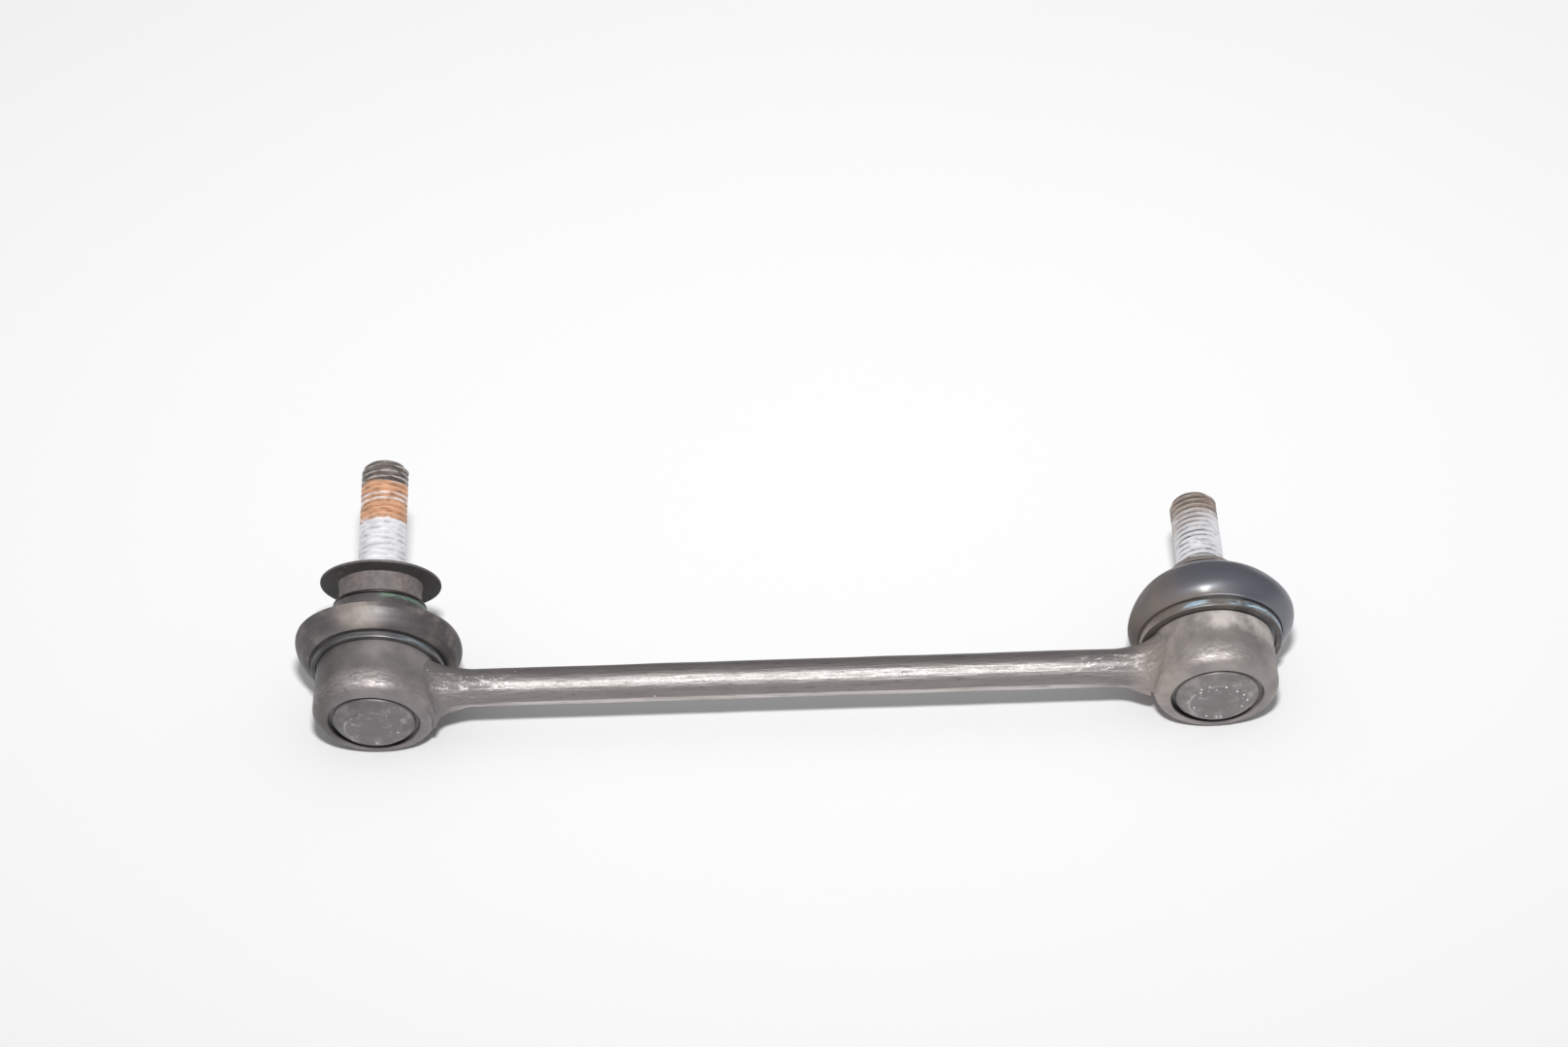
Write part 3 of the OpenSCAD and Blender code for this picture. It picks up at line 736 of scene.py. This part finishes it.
def band_finish(name, end, steel_tone, sheen, strength):
    """Spring steel; sheen lists the stretches, in millimetres from the top, that temper has coloured."""
    look = Finish(name)
    tone = colours()
    around = look.around(14.2)
    along = look.parts(around)[0]
    level = (look.height - end.band_low) / end.band_height
    fine = look.noise(around, (0.25, 3.0, 1.0), 4.0, 0.6)
    steel = look.varied(look.band(fine, 0.35, 0.7), steel_tone, 0.8, 1.5)
    breaks = look.noise(around, (0.35, 2.2, 1.0), 5.0, 0.6, 0.4)
    mask = 0.0
    for low, high in sheen:
        mask = look.most(mask, look.span(along, low, high, 1.2))
    mask = mask * look.span(level, 0.22, 0.72, 0.14) * look.band(breaks, 0.38, 0.56) * strength
    hue = look.noise(around, (0.25, 1.2, 1.0), 3.0, 0.5)
    steel = look.mix(mask, steel, look.mix(look.band(hue, 0.4, 0.62), tone.temper_blue, tone.temper_cyan))
    # Painted shade in the gap under the band; on the left band also painted shade on the side towards
    # negative x, on the right band dust there
    painted_band_shade = look.band(level, 0.10, 0.02) * 0.7
    far_end_shade_and_dust = look.band(look.x, -2.0, -10.0) * 0.55
    if end.left:
        painted_band_shade = look.most(painted_band_shade, far_end_shade_and_dust)
    else:
        steel = look.mix(far_end_shade_and_dust, steel, tone.tan_dust)
    steel = look.mix(painted_band_shade, steel, (0.02, 0.019, 0.019))
    look.set(base_color=steel, metallic=look.level(look.most(mask, painted_band_shade), 0.75, 0.3),
             roughness=look.level(fine, 0.48, 0.38))
    look.bump(fine, 0.03)
    return look.material


def wire_finish():
    """Dark drawn wire of the rings around the lips."""
    look = Finish("ring_wire_steel")
    fine = look.noise(look.around(9.0), (0.25, 3.0, 1.0), 4.0, 0.6)
    look.set(base_color=look.varied(look.band(fine, 0.35, 0.7), colours().wire, 0.8, 1.5), metallic=0.75,
             roughness=look.level(fine, 0.48, 0.38))
    look.bump(fine, 0.03)
    return look.material


def seat_finish():
    """Moulded plastic of the seats inside the housings."""
    look = Finish("seat_plastic")
    coords = look.node("ShaderNodeTexCoord").outputs["Object"]
    cloud = look.noise(coords, 180.0, 4.0, 0.5)
    look.set(base_color=look.varied(cloud, colours().seat_plastic, 0.94, 1.0), roughness=0.5)
    look.bump(look.noise(coords, 1400.0, 3.0, 0.5), 0.02)
    return look.material


def floor_finish():
    """Pale matte floor."""
    look = Finish("floor_white")
    coords = look.node("ShaderNodeTexCoord").outputs["Object"]
    cloud = look.noise(coords, 6.0, 3.0, 0.5)
    look.set(base_color=look.varied(cloud, colours().floor, 0.99, 1.0), roughness=0.9,
             specular_ior_level=0.1)
    return look.material


def rod_stations(flare, fillet, run):
    """Distances from the housing's wall to the middle of the rod, closer together where the rod widens."""
    in_wall = -0.7
    turns = [fillet * (1 - math.cos(math.radians(10 * i))) for i in range(10)]
    widening = [fillet + (flare - fillet) * i / 12 for i in range(1, 13)]
    plain = [flare + (run - flare) * i / 40 for i in range(1, 41)]
    return [in_wall] + turns + widening + plain


def from_low_side(angle):
    """Angle around the rod, measured from its low side."""
    return math.atan2(math.sin(angle - LOW_SIDE), math.cos(angle - LOW_SIDE))


def end_form(end, angle, gap):
    """Extra radius of the rod's end: a web with a nick on the left, a thin flash and a scar on the right."""
    apart = from_low_side(angle)
    if end.left:
        web = 0.9 * max(0.0, 1 - gap / 6.5) ** 2.2 * bell(apart, 0.0, 0.9)
        nick = 0.3 * bell(gap, 0.9, 0.4) * bell(apart, -0.1, 0.12)
        return web - nick
    slit = min(1.0, max(0.0, (gap - 0.35) / 0.35))
    flash = 1.3 * slit * max(0.0, 1 - gap / 5.6) * bell(apart, 0.0, 0.13)
    scar = 0.4 * bell(gap, 2.6, 1.0) * bell(apart, -1.9, 0.32)
    return flash - scar


def rod_radius(size, end, angle, gap):
    """Radius of the rod at an angle and a distance from the wall, with its fillet and traces of forging."""
    plain = size.rod_d / MM / 2
    upset = size.rod_end_d / MM / 2 - plain
    radius = plain + upset * smooth_step(1 - gap / (size.flare / MM), 0, 1)
    fillet = end.fillet - end.low_side_loss * bell(from_low_side(angle), 0.0, 0.9)
    if gap < fillet:
        radius += fillet - math.sqrt(fillet ** 2 - (fillet - max(0.0, gap)) ** 2)
    radius += end_form(end, angle, max(0.0, gap))
    # The end stays between the boot's band and the housing's rolled lip
    along = math.cos(angle)
    if along > 0.1:
        return min(radius, (end.band_low - size.clearance / MM) / along)
    if along < -0.1:
        return min(radius, 0.9 * size.lip_depth / MM / -along)
    return radius


def rod_skin(size, left, right):
    """Points, faces and own coordinates of the rod, from inside one housing's wall to inside the other's."""
    segments = 192
    half = (right.ball - left.ball).length / MM / 2
    wall = size.housing_r / MM
    flare = size.flare / MM
    rings = [(left, gap) for gap in rod_stations(flare, left.fillet, half - wall)]
    rings += [(right, gap) for gap in rod_stations(flare, right.fillet, half - wall)[-2::-1]]
    local = []
    for end, gap in rings:
        for k in range(segments):
            angle = math.tau * k / segments
            along = math.cos(angle)
            across = math.sin(angle)
            radius = rod_radius(size, end, angle, gap)
            reach = half - math.sqrt(wall ** 2 - (radius * across) ** 2) - gap
            x = -reach if end.left else reach
            radius += 0.06 * noise.noise(Vector((x * 0.11, along * 0.8, across * 0.8)))
            local.append(Vector((x, radius * along, radius * across)))
    rows = [range(i * segments, (i + 1) * segments) for i in range(len(rings))]
    faces = joined(rows) + [list(rows[0]), list(rows[-1])]
    middle = (left.ball + right.ball) / 2
    axis = left.housing_axis
    up = WORLD_X.cross(axis)
    points = [middle + (WORLD_X * p.x + axis * p.y + up * p.z) * MM for p in local]
    return points, faces, local


def housing_outline(size, end):
    """Half section of a housing, from the rolled lip round to the mouth and the bore inside."""
    wall = size.housing_r / MM
    spigot = size.spigot_top / MM
    groove = size.groove_r / MM
    depth = size.lip_depth / MM
    opening = size.lip_opening_r / MM
    corner = size.lip_corner / MM
    bead_r = groove + BEAD
    bead_low = spigot - 0.6
    mouth_r = 9.233
    throat_r = 7.367
    bore_r = 10.2
    bore_top = 3.806
    pocket_r = 10.85
    pocket_top = -4.9
    pocket_low = -6.1
    return rounded([
        (opening, pocket_low), (opening, -depth, wall - opening - corner), (wall, -depth, corner - 0.01),
        (wall, end.housing_top, 0.45), (groove, end.housing_top), (groove, bead_low), (bead_r, bead_low),
        (bead_r, spigot), (mouth_r, spigot), (throat_r, bore_top), (bore_r, bore_top), (bore_r, pocket_top),
        (pocket_r, pocket_top), (pocket_r, pocket_low)], steps=10)


def cap_outline(size):
    """Half section of an end cap: disc, a small step around it, the dome's side and the rim under the lip."""
    flat = size.cap_flat_r / MM
    depth = size.cap_depth / MM
    dome_r = 8.45
    gutter_r = 9.25
    rim_r = 10.8
    rim_top = -4.95
    rim_low = -6.1
    inside_r = 5.9
    inside_low = -8.2
    return rounded([
        (0, -depth), (flat, -depth, 0.22), (flat + 0.22, 0.3 - depth, 0.15), (flat + 1.3, 0.62 - depth, 1.2),
        (dome_r, -7.65, 0.6), (dome_r + 0.1, -7.0, 0.1), (gutter_r, -6.9, 0.05), (gutter_r, rim_low - 0.02),
        (rim_r, rim_low), (rim_r, rim_top), (8.0, rim_top), (inside_r, inside_low), (0, inside_low)],
        closed=False, steps=6)


def uneven(amount, scale):
    """Small unevenness of a forged skin, as a shape function."""
    def moved(p):
        flat = Vector((p.x, p.y, 0))
        if flat.length < 1e-6:
            return p
        return p + flat.normalized() * (amount * noise.noise(p * scale))
    return moved


class LINK_OT_rod(bpy.types.Operator):
    """Builds the connecting rod with its forged and welded ends"""
    bl_idname = "link.rod"
    bl_label = "Connecting rod"

    def execute(self, context):
        points, faces, local = rod_skin(sizes(), End("left"), End("right"))
        piece = finish_mesh("rod_bar", points, faces, local, sharp=50)
        fit(piece, rod_finish(), "link", "rod_steel", "connecting_rod")
        return {"FINISHED"}


class LINK_OT_housings(bpy.types.Operator):
    """Builds both ball housings with their rolled lips"""
    bl_idname = "link.housings"
    bl_label = "Housings"

    def execute(self, context):
        finishes = {
            "left": housing_finish("housing_steel_dark", colours().left_skin, dust=0.12),
            "right": housing_finish("housing_steel_dusty", colours().right_skin, dust=1.0)}
        slots = {"left": "rod_steel", "right": "housing_steel"}
        for name in ENDS:
            end = End(name)
            piece = turned(name + "_cup", housing_outline(sizes(), end), end.ball, end.housing_axis,
                           uneven(amount=0.07, scale=0.23))
            fit(piece, finishes[name], "link", slots[name], name + "_housing")
        return {"FINISHED"}


class LINK_OT_caps(bpy.types.Operator):
    """Builds the pressed end caps and finishes the seats behind them"""
    bl_idname = "link.caps"
    bl_label = "End caps"

    def execute(self, context):
        outline = cap_outline(sizes())
        finishes = {
            "left": cap_finish("cap_steel_dark", colours().left_cap, sparkle=0.06),
            "right": cap_finish("cap_steel_dusty", colours().right_cap, sparkle=0.5)}
        plastic = seat_finish()
        for name in ENDS:
            end = End(name)
            piece = turned(name + "_cap", outline, end.ball, end.housing_axis,
                           uneven(amount=0.05, scale=0.35))
            fit(piece, finishes[name], "link", "cap_steel", name + "_end_cap")
            seat = frame["nodes"][name + "_ball_seat"]
            seat.data.materials.clear()
            seat.data.materials.append(plastic)
        return {"FINISHED"}


def boot_outline(size, end):
    """Half section of a boot: cuff, bulge over the band, sleeve or dome, lip, and the wall's inside."""
    cuff = end.cuff_r
    gap = size.clearance / MM
    wire = size.wire_d / MM
    wall = size.boot_wall / MM
    groove = size.groove_r / MM + gap
    spigot = groove + BEAD
    low = end.cuff_top - gap
    band = Vector((cuff + gap + end.band_thickness, low))
    rim = Vector(end.rim)
    belt = Vector(end.belt)
    lip_inner = end.lip_seat_r + gap
    lip = lip_inner + LIP_WALL
    seat = end.lip_top - wire - gap
    seat_r = lip + gap / 2 + wire
    fillet = 1.1
    edge = 0.25
    # The left bulge ends in a sleeve, the right one is a dome up to the lip
    top = Vector((seat_r + fillet, end.follow_end)) if end.left else Vector((seat_r, seat))
    rise = top.y - belt.y
    outline = [Vector((cuff, end.cuff_bottom)), Vector((cuff, low)), band]
    outline += bezier(band, band + Vector((0.3, 0)), rim - Vector((0.35, 0)), rim, 8)
    outline += bezier(rim, rim + Vector((end.flank[0], 0)), belt - Vector((0, end.flank[1])), belt, 20)
    upper = bezier(belt, belt + Vector((0, 0.41 * rise)),
                   (top.x + end.fullness[0] * (belt.x - top.x), belt.y + end.fullness[1] * rise), top, 22)
    if end.left:
        upper += bezier(top, top - Vector((fillet / 2, 0)), top + Vector((-fillet, fillet / 2)),
                        top + Vector((-fillet, fillet)), 8)
    inner = []
    for i, point in enumerate(upper):
        along = (upper[min(i + 1, len(upper) - 1)] - upper[max(i - 1, 0)]).normalized()
        inner.append(point + Vector((-along.y, along.x)) * wall)
    outline += upper
    if end.left:
        outline += [(seat_r, seat - edge), (seat_r - edge * 0.3, seat - edge * 0.3), (seat_r - edge, seat)]
    outline += [(lip, seat), (lip, end.lip_top - 0.2), (lip - 0.2, end.lip_top), (lip_inner, end.lip_top),
                (lip_inner, end.lip_bottom)]
    outline += inner[::-1]
    outline += [(belt.x - 2.0, low + 1.9), (cuff + 0.4, low + wall), (spigot, low + wall),
                (spigot, low + gap), (groove, low + gap), (groove, end.cuff_bottom)]
    return [tuple(p) for p in outline]


def boot_shape(end):
    """Leans each height of a boot towards the stud, as the CAD model does, and adds the rubber's own give."""
    unevenness = 0.09
    flat_from_r = 14.8
    flat_to_r = 16.6

    def moved(p):
        share = smooth_step(p.z, end.follow_start, end.follow_end)
        climb = (p.z - end.cuff_top) / (end.follow_end - end.cuff_top)
        swell = math.sin(math.pi * min(1.0, max(0.0, climb)))
        flat = Vector((p.x, p.y, 0))
        facing = max(0.0, -p.y / flat.length)
        give = unevenness * noise.noise(p * 0.16) * swell
        give -= end.flattening * facing ** 2 * smooth_step(flat.length, flat_from_r, flat_to_r)
        p = p + flat.normalized() * give + Vector((end.lean * swell ** 1.5, 0, 0))
        return Matrix.Rotation(end.tilt * share, 3, "X") @ p
    return moved


class LINK_OT_boots(bpy.types.Operator):
    """Builds the dust boots, which bend between the housing and the stud"""
    bl_idname = "link.boots"
    bl_label = "Dust boots"

    def execute(self, context):
        size = sizes()
        finishes = {"left": left_boot_finish(), "right": right_boot_finish()}
        slots = {"left": "boot_rubber_dusty", "right": "boot_rubber"}
        for name in ENDS:
            end = End(name)
            piece = turned(name + "_boot_skin", boot_outline(size, end), end.ball, end.housing_axis,
                           boot_shape(end))
            fit(piece, finishes[name], None, slots[name], name + "_dust_boot")
            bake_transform(piece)
        return {"FINISHED"}


def stud_outline(size, end):
    """Half section of a stud: ball, neck, cone, collar, the core of the thread and the rim of its socket."""
    core = size.thread_core_r / MM
    foot = math.asin(NECK_R / BALL_R)
    steps = 28
    ball = []
    for i in range(steps + 1):
        angle = math.pi - (math.pi - foot) * i / steps
        ball.append((BALL_R * math.sin(angle), BALL_R * math.cos(angle)))
    seat = end.lip_seat_r
    neck_top = 11.335
    corners = [ball[-1], (NECK_R, neck_top, 1.2), (seat, end.lip_bottom, 0.6)]
    if end.left:
        collar_r = 8.6
        collar_low = 19.1
        flange_r = 12.6
        flange_low = 23.6
        corners += [(seat, collar_low), (collar_r, collar_low, 0.25), (collar_r, flange_low - 0.2, 0.35),
                    (flange_r, flange_low, 0.12), (flange_r, end.seat_face, 0.25)]
    else:
        shoulder_r = 7.0
        shoulder_low = 21.4
        corners += [(seat, shoulder_low), (shoulder_r, shoulder_low, 0.2),
                    (shoulder_r, end.seat_face - 0.3, 0.3), (shoulder_r - 0.3, end.seat_face, 0.1)]
    corners += [(core, end.seat_face, 0.25), (core, end.tip - 0.55, 0.2), (core - 0.55, end.tip, 0.25),
                (SOCKET_RIM_R, end.tip)]
    return ball[:-1] + rounded(corners, closed=False)


def hexagon(inset, height, segments):
    """Points of one ring around a six-sided hole."""
    ring = []
    for k in range(segments):
        angle = math.tau * k / segments
        slant = (angle + math.pi / 6) % (math.pi / 3) - math.pi / 6
        radius = SOCKET_FLAT / math.cos(slant) - inset
        ring.append(Vector((radius * math.cos(angle), radius * math.sin(angle), height)))
    return ring


def socketed_stud(size, end):
    """A turned stud whose tip closes in a six-sided hole."""
    segments = 120
    rings = [circle(radius, height, segments) for radius, height in stud_outline(size, end)]
    bottom = end.tip - SOCKET_DEPTH
    rings += [hexagon(0.0, end.tip - 0.05, segments), hexagon(0.0, bottom, segments),
              hexagon(1.4, bottom - 0.6, segments), circle(0.0, bottom - 1.1, segments)]
    return skinned(end.name + "_stud_body", rings, end.ball, end.stud_axis, sharp=35)


class LINK_OT_studs(bpy.types.Operator):
    """Builds the ball studs with a hexagon socket in each tip, and cuts their threads"""
    bl_idname = "link.studs"
    bl_label = "Ball studs"

    def execute(self, context):
        size = sizes()
        thread_tree = helical_thread_tree()
        for name in ENDS:
            end = End(name)
            finish = stud_finish(end)
            piece = socketed_stud(size, end)
            fit(piece, finish, name + "_stud", "stud_steel", name + "_ball_stud")
            thread = threaded(size, end, thread_tree, finish)
            fit(thread, finish, name + "_stud", "stud_steel")
        return {"FINISHED"}


class Growth(Nodes):
    """A geometry node tree with named lengths and a finish as its inputs."""

    def __init__(self, name, *lengths):
        super().__init__(bpy.data.node_groups.new(name, "GeometryNodeTree"))
        sockets = self.tree.interface
        sockets.new_socket(name="Geometry", in_out="OUTPUT", socket_type="NodeSocketGeometry")
        for label in lengths:
            sockets.new_socket(name=label, in_out="INPUT", socket_type="NodeSocketFloat")
        sockets.new_socket(name="Finish", in_out="INPUT", socket_type="NodeSocketMaterial")
        given = self.node("NodeGroupInput").outputs
        self.finish = given["Finish"]
        self.lengths = [Value(self, given[label]) for label in lengths]

    def close(self, geometry):
        """Ends the tree with Realize Instances and Set Material."""
        real = self.node("GeometryNodeRealizeInstances", Geometry=geometry)
        painted = self.node("GeometryNodeSetMaterial", Geometry=real.outputs[0], Material=self.finish)
        self.node("NodeGroupOutput", Geometry=painted.outputs[0])
        return self.tree


def helical_thread_tree():
    """Thread: a pointed section swept along a helix, and turned down to a cone at the tip."""
    made = Growth("Helical thread", "Length", "Pitch", "Crest", "Core", "Chamfer")
    run, pitch, crest, core, chamfer = made.lengths
    helix = made.node("GeometryNodeCurveSpiral", Resolution=72, Rotations=run / pitch, Start_Radius=core,
                      End_Radius=core, Height=run, Reverse=True)
    upright = made.node("GeometryNodeSetCurveNormal", {"mode": "Z_UP"}, Curve=helix.outputs[0])
    rise = crest - core
    foot = pitch * 0.47
    edge = pitch * 0.07
    sunk = -0.2 * MM
    section = made.node("GeometryNodeCurvePrimitiveQuadrilateral", {"mode": "POINTS"})
    corners = ((sunk, foot * -1.0), (rise, edge * -1.0), (rise, edge), (sunk, foot))
    for i, (x, y) in enumerate(corners, 1):
        made.feed(section.inputs["Point " + str(i)], made.vector(x, y, 0.0))
    swept = made.node("GeometryNodeCurveToMesh", Curve=upright.outputs[0], Profile_Curve=section.outputs[0],
                      Fill_Caps=True)
    x, y, z = made.parts(made.node("GeometryNodeInputPosition").outputs[0])
    radius = made.math("SQRT", x * x + y * y)
    cone = crest - chamfer + (run - z)
    share = made.least(made.most(cone, core - 0.4 * MM) / radius, 1.0)
    height = made.least(made.most(z, 0.0), run)
    shaped = made.node("GeometryNodeSetPosition", Geometry=swept.outputs[0],
                       Position=made.vector(x * share, y * share, height))
    return made.close(shaped.outputs[0])


def wire_ring_tree():
    """Ring: a round wire swept around a circle."""
    made = Growth("Wire ring", "Radius", "Wire")
    radius, wire = made.lengths
    path = made.node("GeometryNodeCurvePrimitiveCircle", Resolution=160, Radius=radius)
    section = made.node("GeometryNodeCurvePrimitiveCircle", Resolution=20, Radius=wire)
    swept = made.node("GeometryNodeCurveToMesh", Curve=path.outputs[0], Profile_Curve=section.outputs[0])
    smooth = made.node("GeometryNodeSetShadeSmooth", Geometry=swept.outputs[0])
    return made.close(smooth.outputs[0])


def grown(name, tree, values, base, axis, height_mm):
    """Plain mesh of a node tree's result, put on an axis at a height, with its own coordinates kept."""
    seed = bpy.data.objects.new(name + "_seed", bpy.data.meshes.new(name + "_seed"))
    bpy.context.scene.collection.objects.link(seed)
    modifier = seed.modifiers.new("Shape", "NODES")
    modifier.node_group = tree
    sockets = {item.name: item.identifier for item in tree.interface.items_tree if item.in_out == "INPUT"}
    for label, value in values.items():
        modifier[sockets[label]] = value
    graph = bpy.context.evaluated_depsgraph_get()
    mesh = bpy.data.meshes.new_from_object(seed.evaluated_get(graph))
    bpy.data.objects.remove(seed)
    local = [v.co / MM + Vector((0, 0, height_mm)) for v in mesh.vertices]
    faces = [list(polygon.vertices) for polygon in mesh.polygons]
    points = [placed(p, base, axis) for p in local]
    bpy.data.meshes.remove(mesh)
    return finish_mesh(name, points, faces, local, sharp=50)


def threaded(size, end, tree, finish):
    """The helical thread of one stud, from just above its seat face to the tip."""
    start = end.seat_face + 0.5
    chamfer = 1.1 * MM
    values = {"Length": (end.tip - start) * MM, "Pitch": size.thread_pitch, "Crest": size.thread_r,
              "Core": size.thread_core_r, "Chamfer": chamfer, "Finish": finish}
    return grown(end.name + "_thread", tree, values, end.ball, end.stud_axis, start)


class LINK_OT_rings(bpy.types.Operator):
    """Builds the steel bands around the cuffs and the wire rings around the lips"""
    bl_idname = "link.rings"
    bl_label = "Boot rings"

    def execute(self, context):
        size = sizes()
        tone = colours()
        finishes = {
            "left": band_finish("band_steel_dark", End("left"), tone.left_band,
                                sheen=((6.5, 14.0),), strength=0.35),
            "right": band_finish("band_steel_blue", End("right"), tone.right_band,
                                 sheen=((-7.0, -1.8), (2.6, 4.6), (6.0, 18.5)), strength=0.95)}
        wire_steel = wire_finish()
        tree = wire_ring_tree()
        wire = size.wire_d
        for name in ENDS:
            end = End(name)
            low = end.band_low
            high = low + end.band_height
            inner = end.cuff_r + size.clearance / MM
            outer = inner + end.band_thickness
            outline = rounded([(inner, low), (outer, low, 0.3), (outer, high, 0.3), (inner, high)])
            band = turned(name + "_cuff_band", outline, end.ball, end.housing_axis)
            fit(band, finishes[name], "link", "ring_steel", name + "_lower_boot_ring")
            radius = (end.lip_seat_r + LIP_WALL) * MM + size.clearance * 1.5 + wire / 2
            middle = end.lip_top - (wire + size.clearance) / 2 / MM
            ring = grown(name + "_lip_ring", tree, {"Radius": radius, "Wire": wire / 2, "Finish": wire_steel},
                         end.ball, end.stud_axis, middle)
            fit(ring, wire_steel, name + "_collar", "ring_steel", name + "_upper_boot_ring")
        return {"FINISHED"}


class LINK_OT_stage(bpy.types.Operator):
    """Builds the floor, the lights and the camera"""
    bl_idname = "link.stage"
    bl_label = "Stage"

    def execute(self, context):
        stage = context.scene.link_stage
        left = End("left")
        middle = (left.ball + End("right").ball) / 2
        along = left.housing_axis
        link_up = WORLD_X.cross(along)
        yaw, pitch, roll = (math.radians(v) for v in (stage.yaw, stage.pitch, stage.roll))
        view = (WORLD_X * math.sin(yaw) + along * (math.cos(yaw) * math.cos(pitch))
                - link_up * (math.cos(yaw) * math.sin(pitch)))
        level_right = view.cross(along * math.sin(pitch) + link_up * math.cos(pitch)).normalized()
        level_up = level_right.cross(view)
        right_hand = level_right * math.cos(roll) - level_up * math.sin(roll)
        upward = level_right * math.sin(roll) + level_up * math.cos(roll)
        place = middle - right_hand * stage.shift_x - upward * stage.shift_y - view * stage.distance
        self.camera(context, stage, place, right_hand, upward, view)
        self.flash(context, stage, place + upward * stage.flash_rise)
        self.floor(context)
        self.sky(context, stage)
        context.scene.view_settings.view_transform = "Standard"
        return {"FINISHED"}

    def camera(self, context, stage, place, right_hand, upward, view):
        data = bpy.data.cameras.new("camera")
        data.sensor_fit = "HORIZONTAL"
        data.sensor_width = 36
        data.lens = stage.lens
        data.clip_start = 0.01
        camera = bpy.data.objects.new("camera", data)
        turn = Matrix((right_hand, upward, -view)).transposed()
        camera.matrix_world = Matrix.Translation(place) @ turn.to_4x4()
        context.scene.collection.objects.link(camera)
        context.scene.camera = camera

    def flash(self, context, stage, place):
        data = bpy.data.lights.new("flash", "AREA")
        data.shape = "DISK"
        data.size = stage.flash_size
        data.energy = 1.0
        data.use_nodes = True
        light = Nodes(data.node_tree)
        even = light.node("ShaderNodeLightFalloff", Strength=stage.flash_power)
        light.feed(light.tree.nodes["Emission"].inputs["Strength"], even.outputs["Constant"])
        lamp = bpy.data.objects.new("flash", data)
        # Aimed over the link, so that the near floor gets no more light than the far floor
        turn = Matrix.Rotation(math.radians(90 - stage.flash_dip), 4, "X")
        lamp.matrix_world = Matrix.Translation(place) @ turn
        context.scene.collection.objects.link(lamp)

    def floor(self, context):
        mesh = bpy.data.meshes.new("floor")
        reach = 4.0
        mesh.from_pydata([(-reach, -reach, 0), (reach, -reach, 0), (reach, reach, 0), (-reach, reach, 0)],
                         [], [(0, 1, 2, 3)])
        mesh.materials.append(floor_finish())
        floor = bpy.data.objects.new("floor", mesh)
        context.scene.collection.objects.link(floor)

    def sky(self, context, stage):
        world = bpy.data.worlds.new("even_light")
        world.use_nodes = True
        light = Nodes(world.node_tree)
        rise = light.parts(light.node("ShaderNodeTexCoord").outputs["Generated"])[2]
        background = light.tree.nodes["Background"]
        light.feed(background.inputs["Color"], (1, 1, 1))
        light.feed(background.inputs["Strength"], light.level(rise, stage.horizon, stage.zenith))
        context.scene.world = world


class LINK_PT_panel(bpy.types.Panel):
    """Lists the steps that build the link, with its sizes and colours"""
    bl_idname = "LINK_PT_panel"
    bl_label = "Stabilizer link"
    bl_space_type = "VIEW_3D"
    bl_region_type = "UI"
    bl_category = "Link"

    def draw(self, context):
        for step in STEPS:
            self.layout.operator(step.bl_idname)
        for settings in (context.scene.link_sizes, context.scene.link_colours, context.scene.link_stage):
            box = self.layout.box()
            for name in settings.__annotations__:
                box.prop(settings, name)


STEPS = (LINK_OT_rod, LINK_OT_housings, LINK_OT_caps, LINK_OT_boots, LINK_OT_studs, LINK_OT_rings,
         LINK_OT_stage)
CLASSES = (LinkSizes, LinkColours, StageSettings, *STEPS, LINK_PT_panel)


def register():
    for item in CLASSES:
        bpy.utils.register_class(item)
    bpy.types.Scene.link_sizes = PointerProperty(type=LinkSizes)
    bpy.types.Scene.link_colours = PointerProperty(type=LinkColours)
    bpy.types.Scene.link_stage = PointerProperty(type=StageSettings)


def unregister():
    del bpy.types.Scene.link_stage
    del bpy.types.Scene.link_colours
    del bpy.types.Scene.link_sizes
    for item in reversed(CLASSES):
        bpy.utils.unregister_class(item)


def main():
    register()
    bpy.ops.link.rod()
    bpy.ops.link.housings()
    bpy.ops.link.caps()
    bpy.ops.link.boots()
    bpy.ops.link.studs()
    bpy.ops.link.rings()
    bpy.ops.link.stage()


if __name__ == "__main__":
    main()
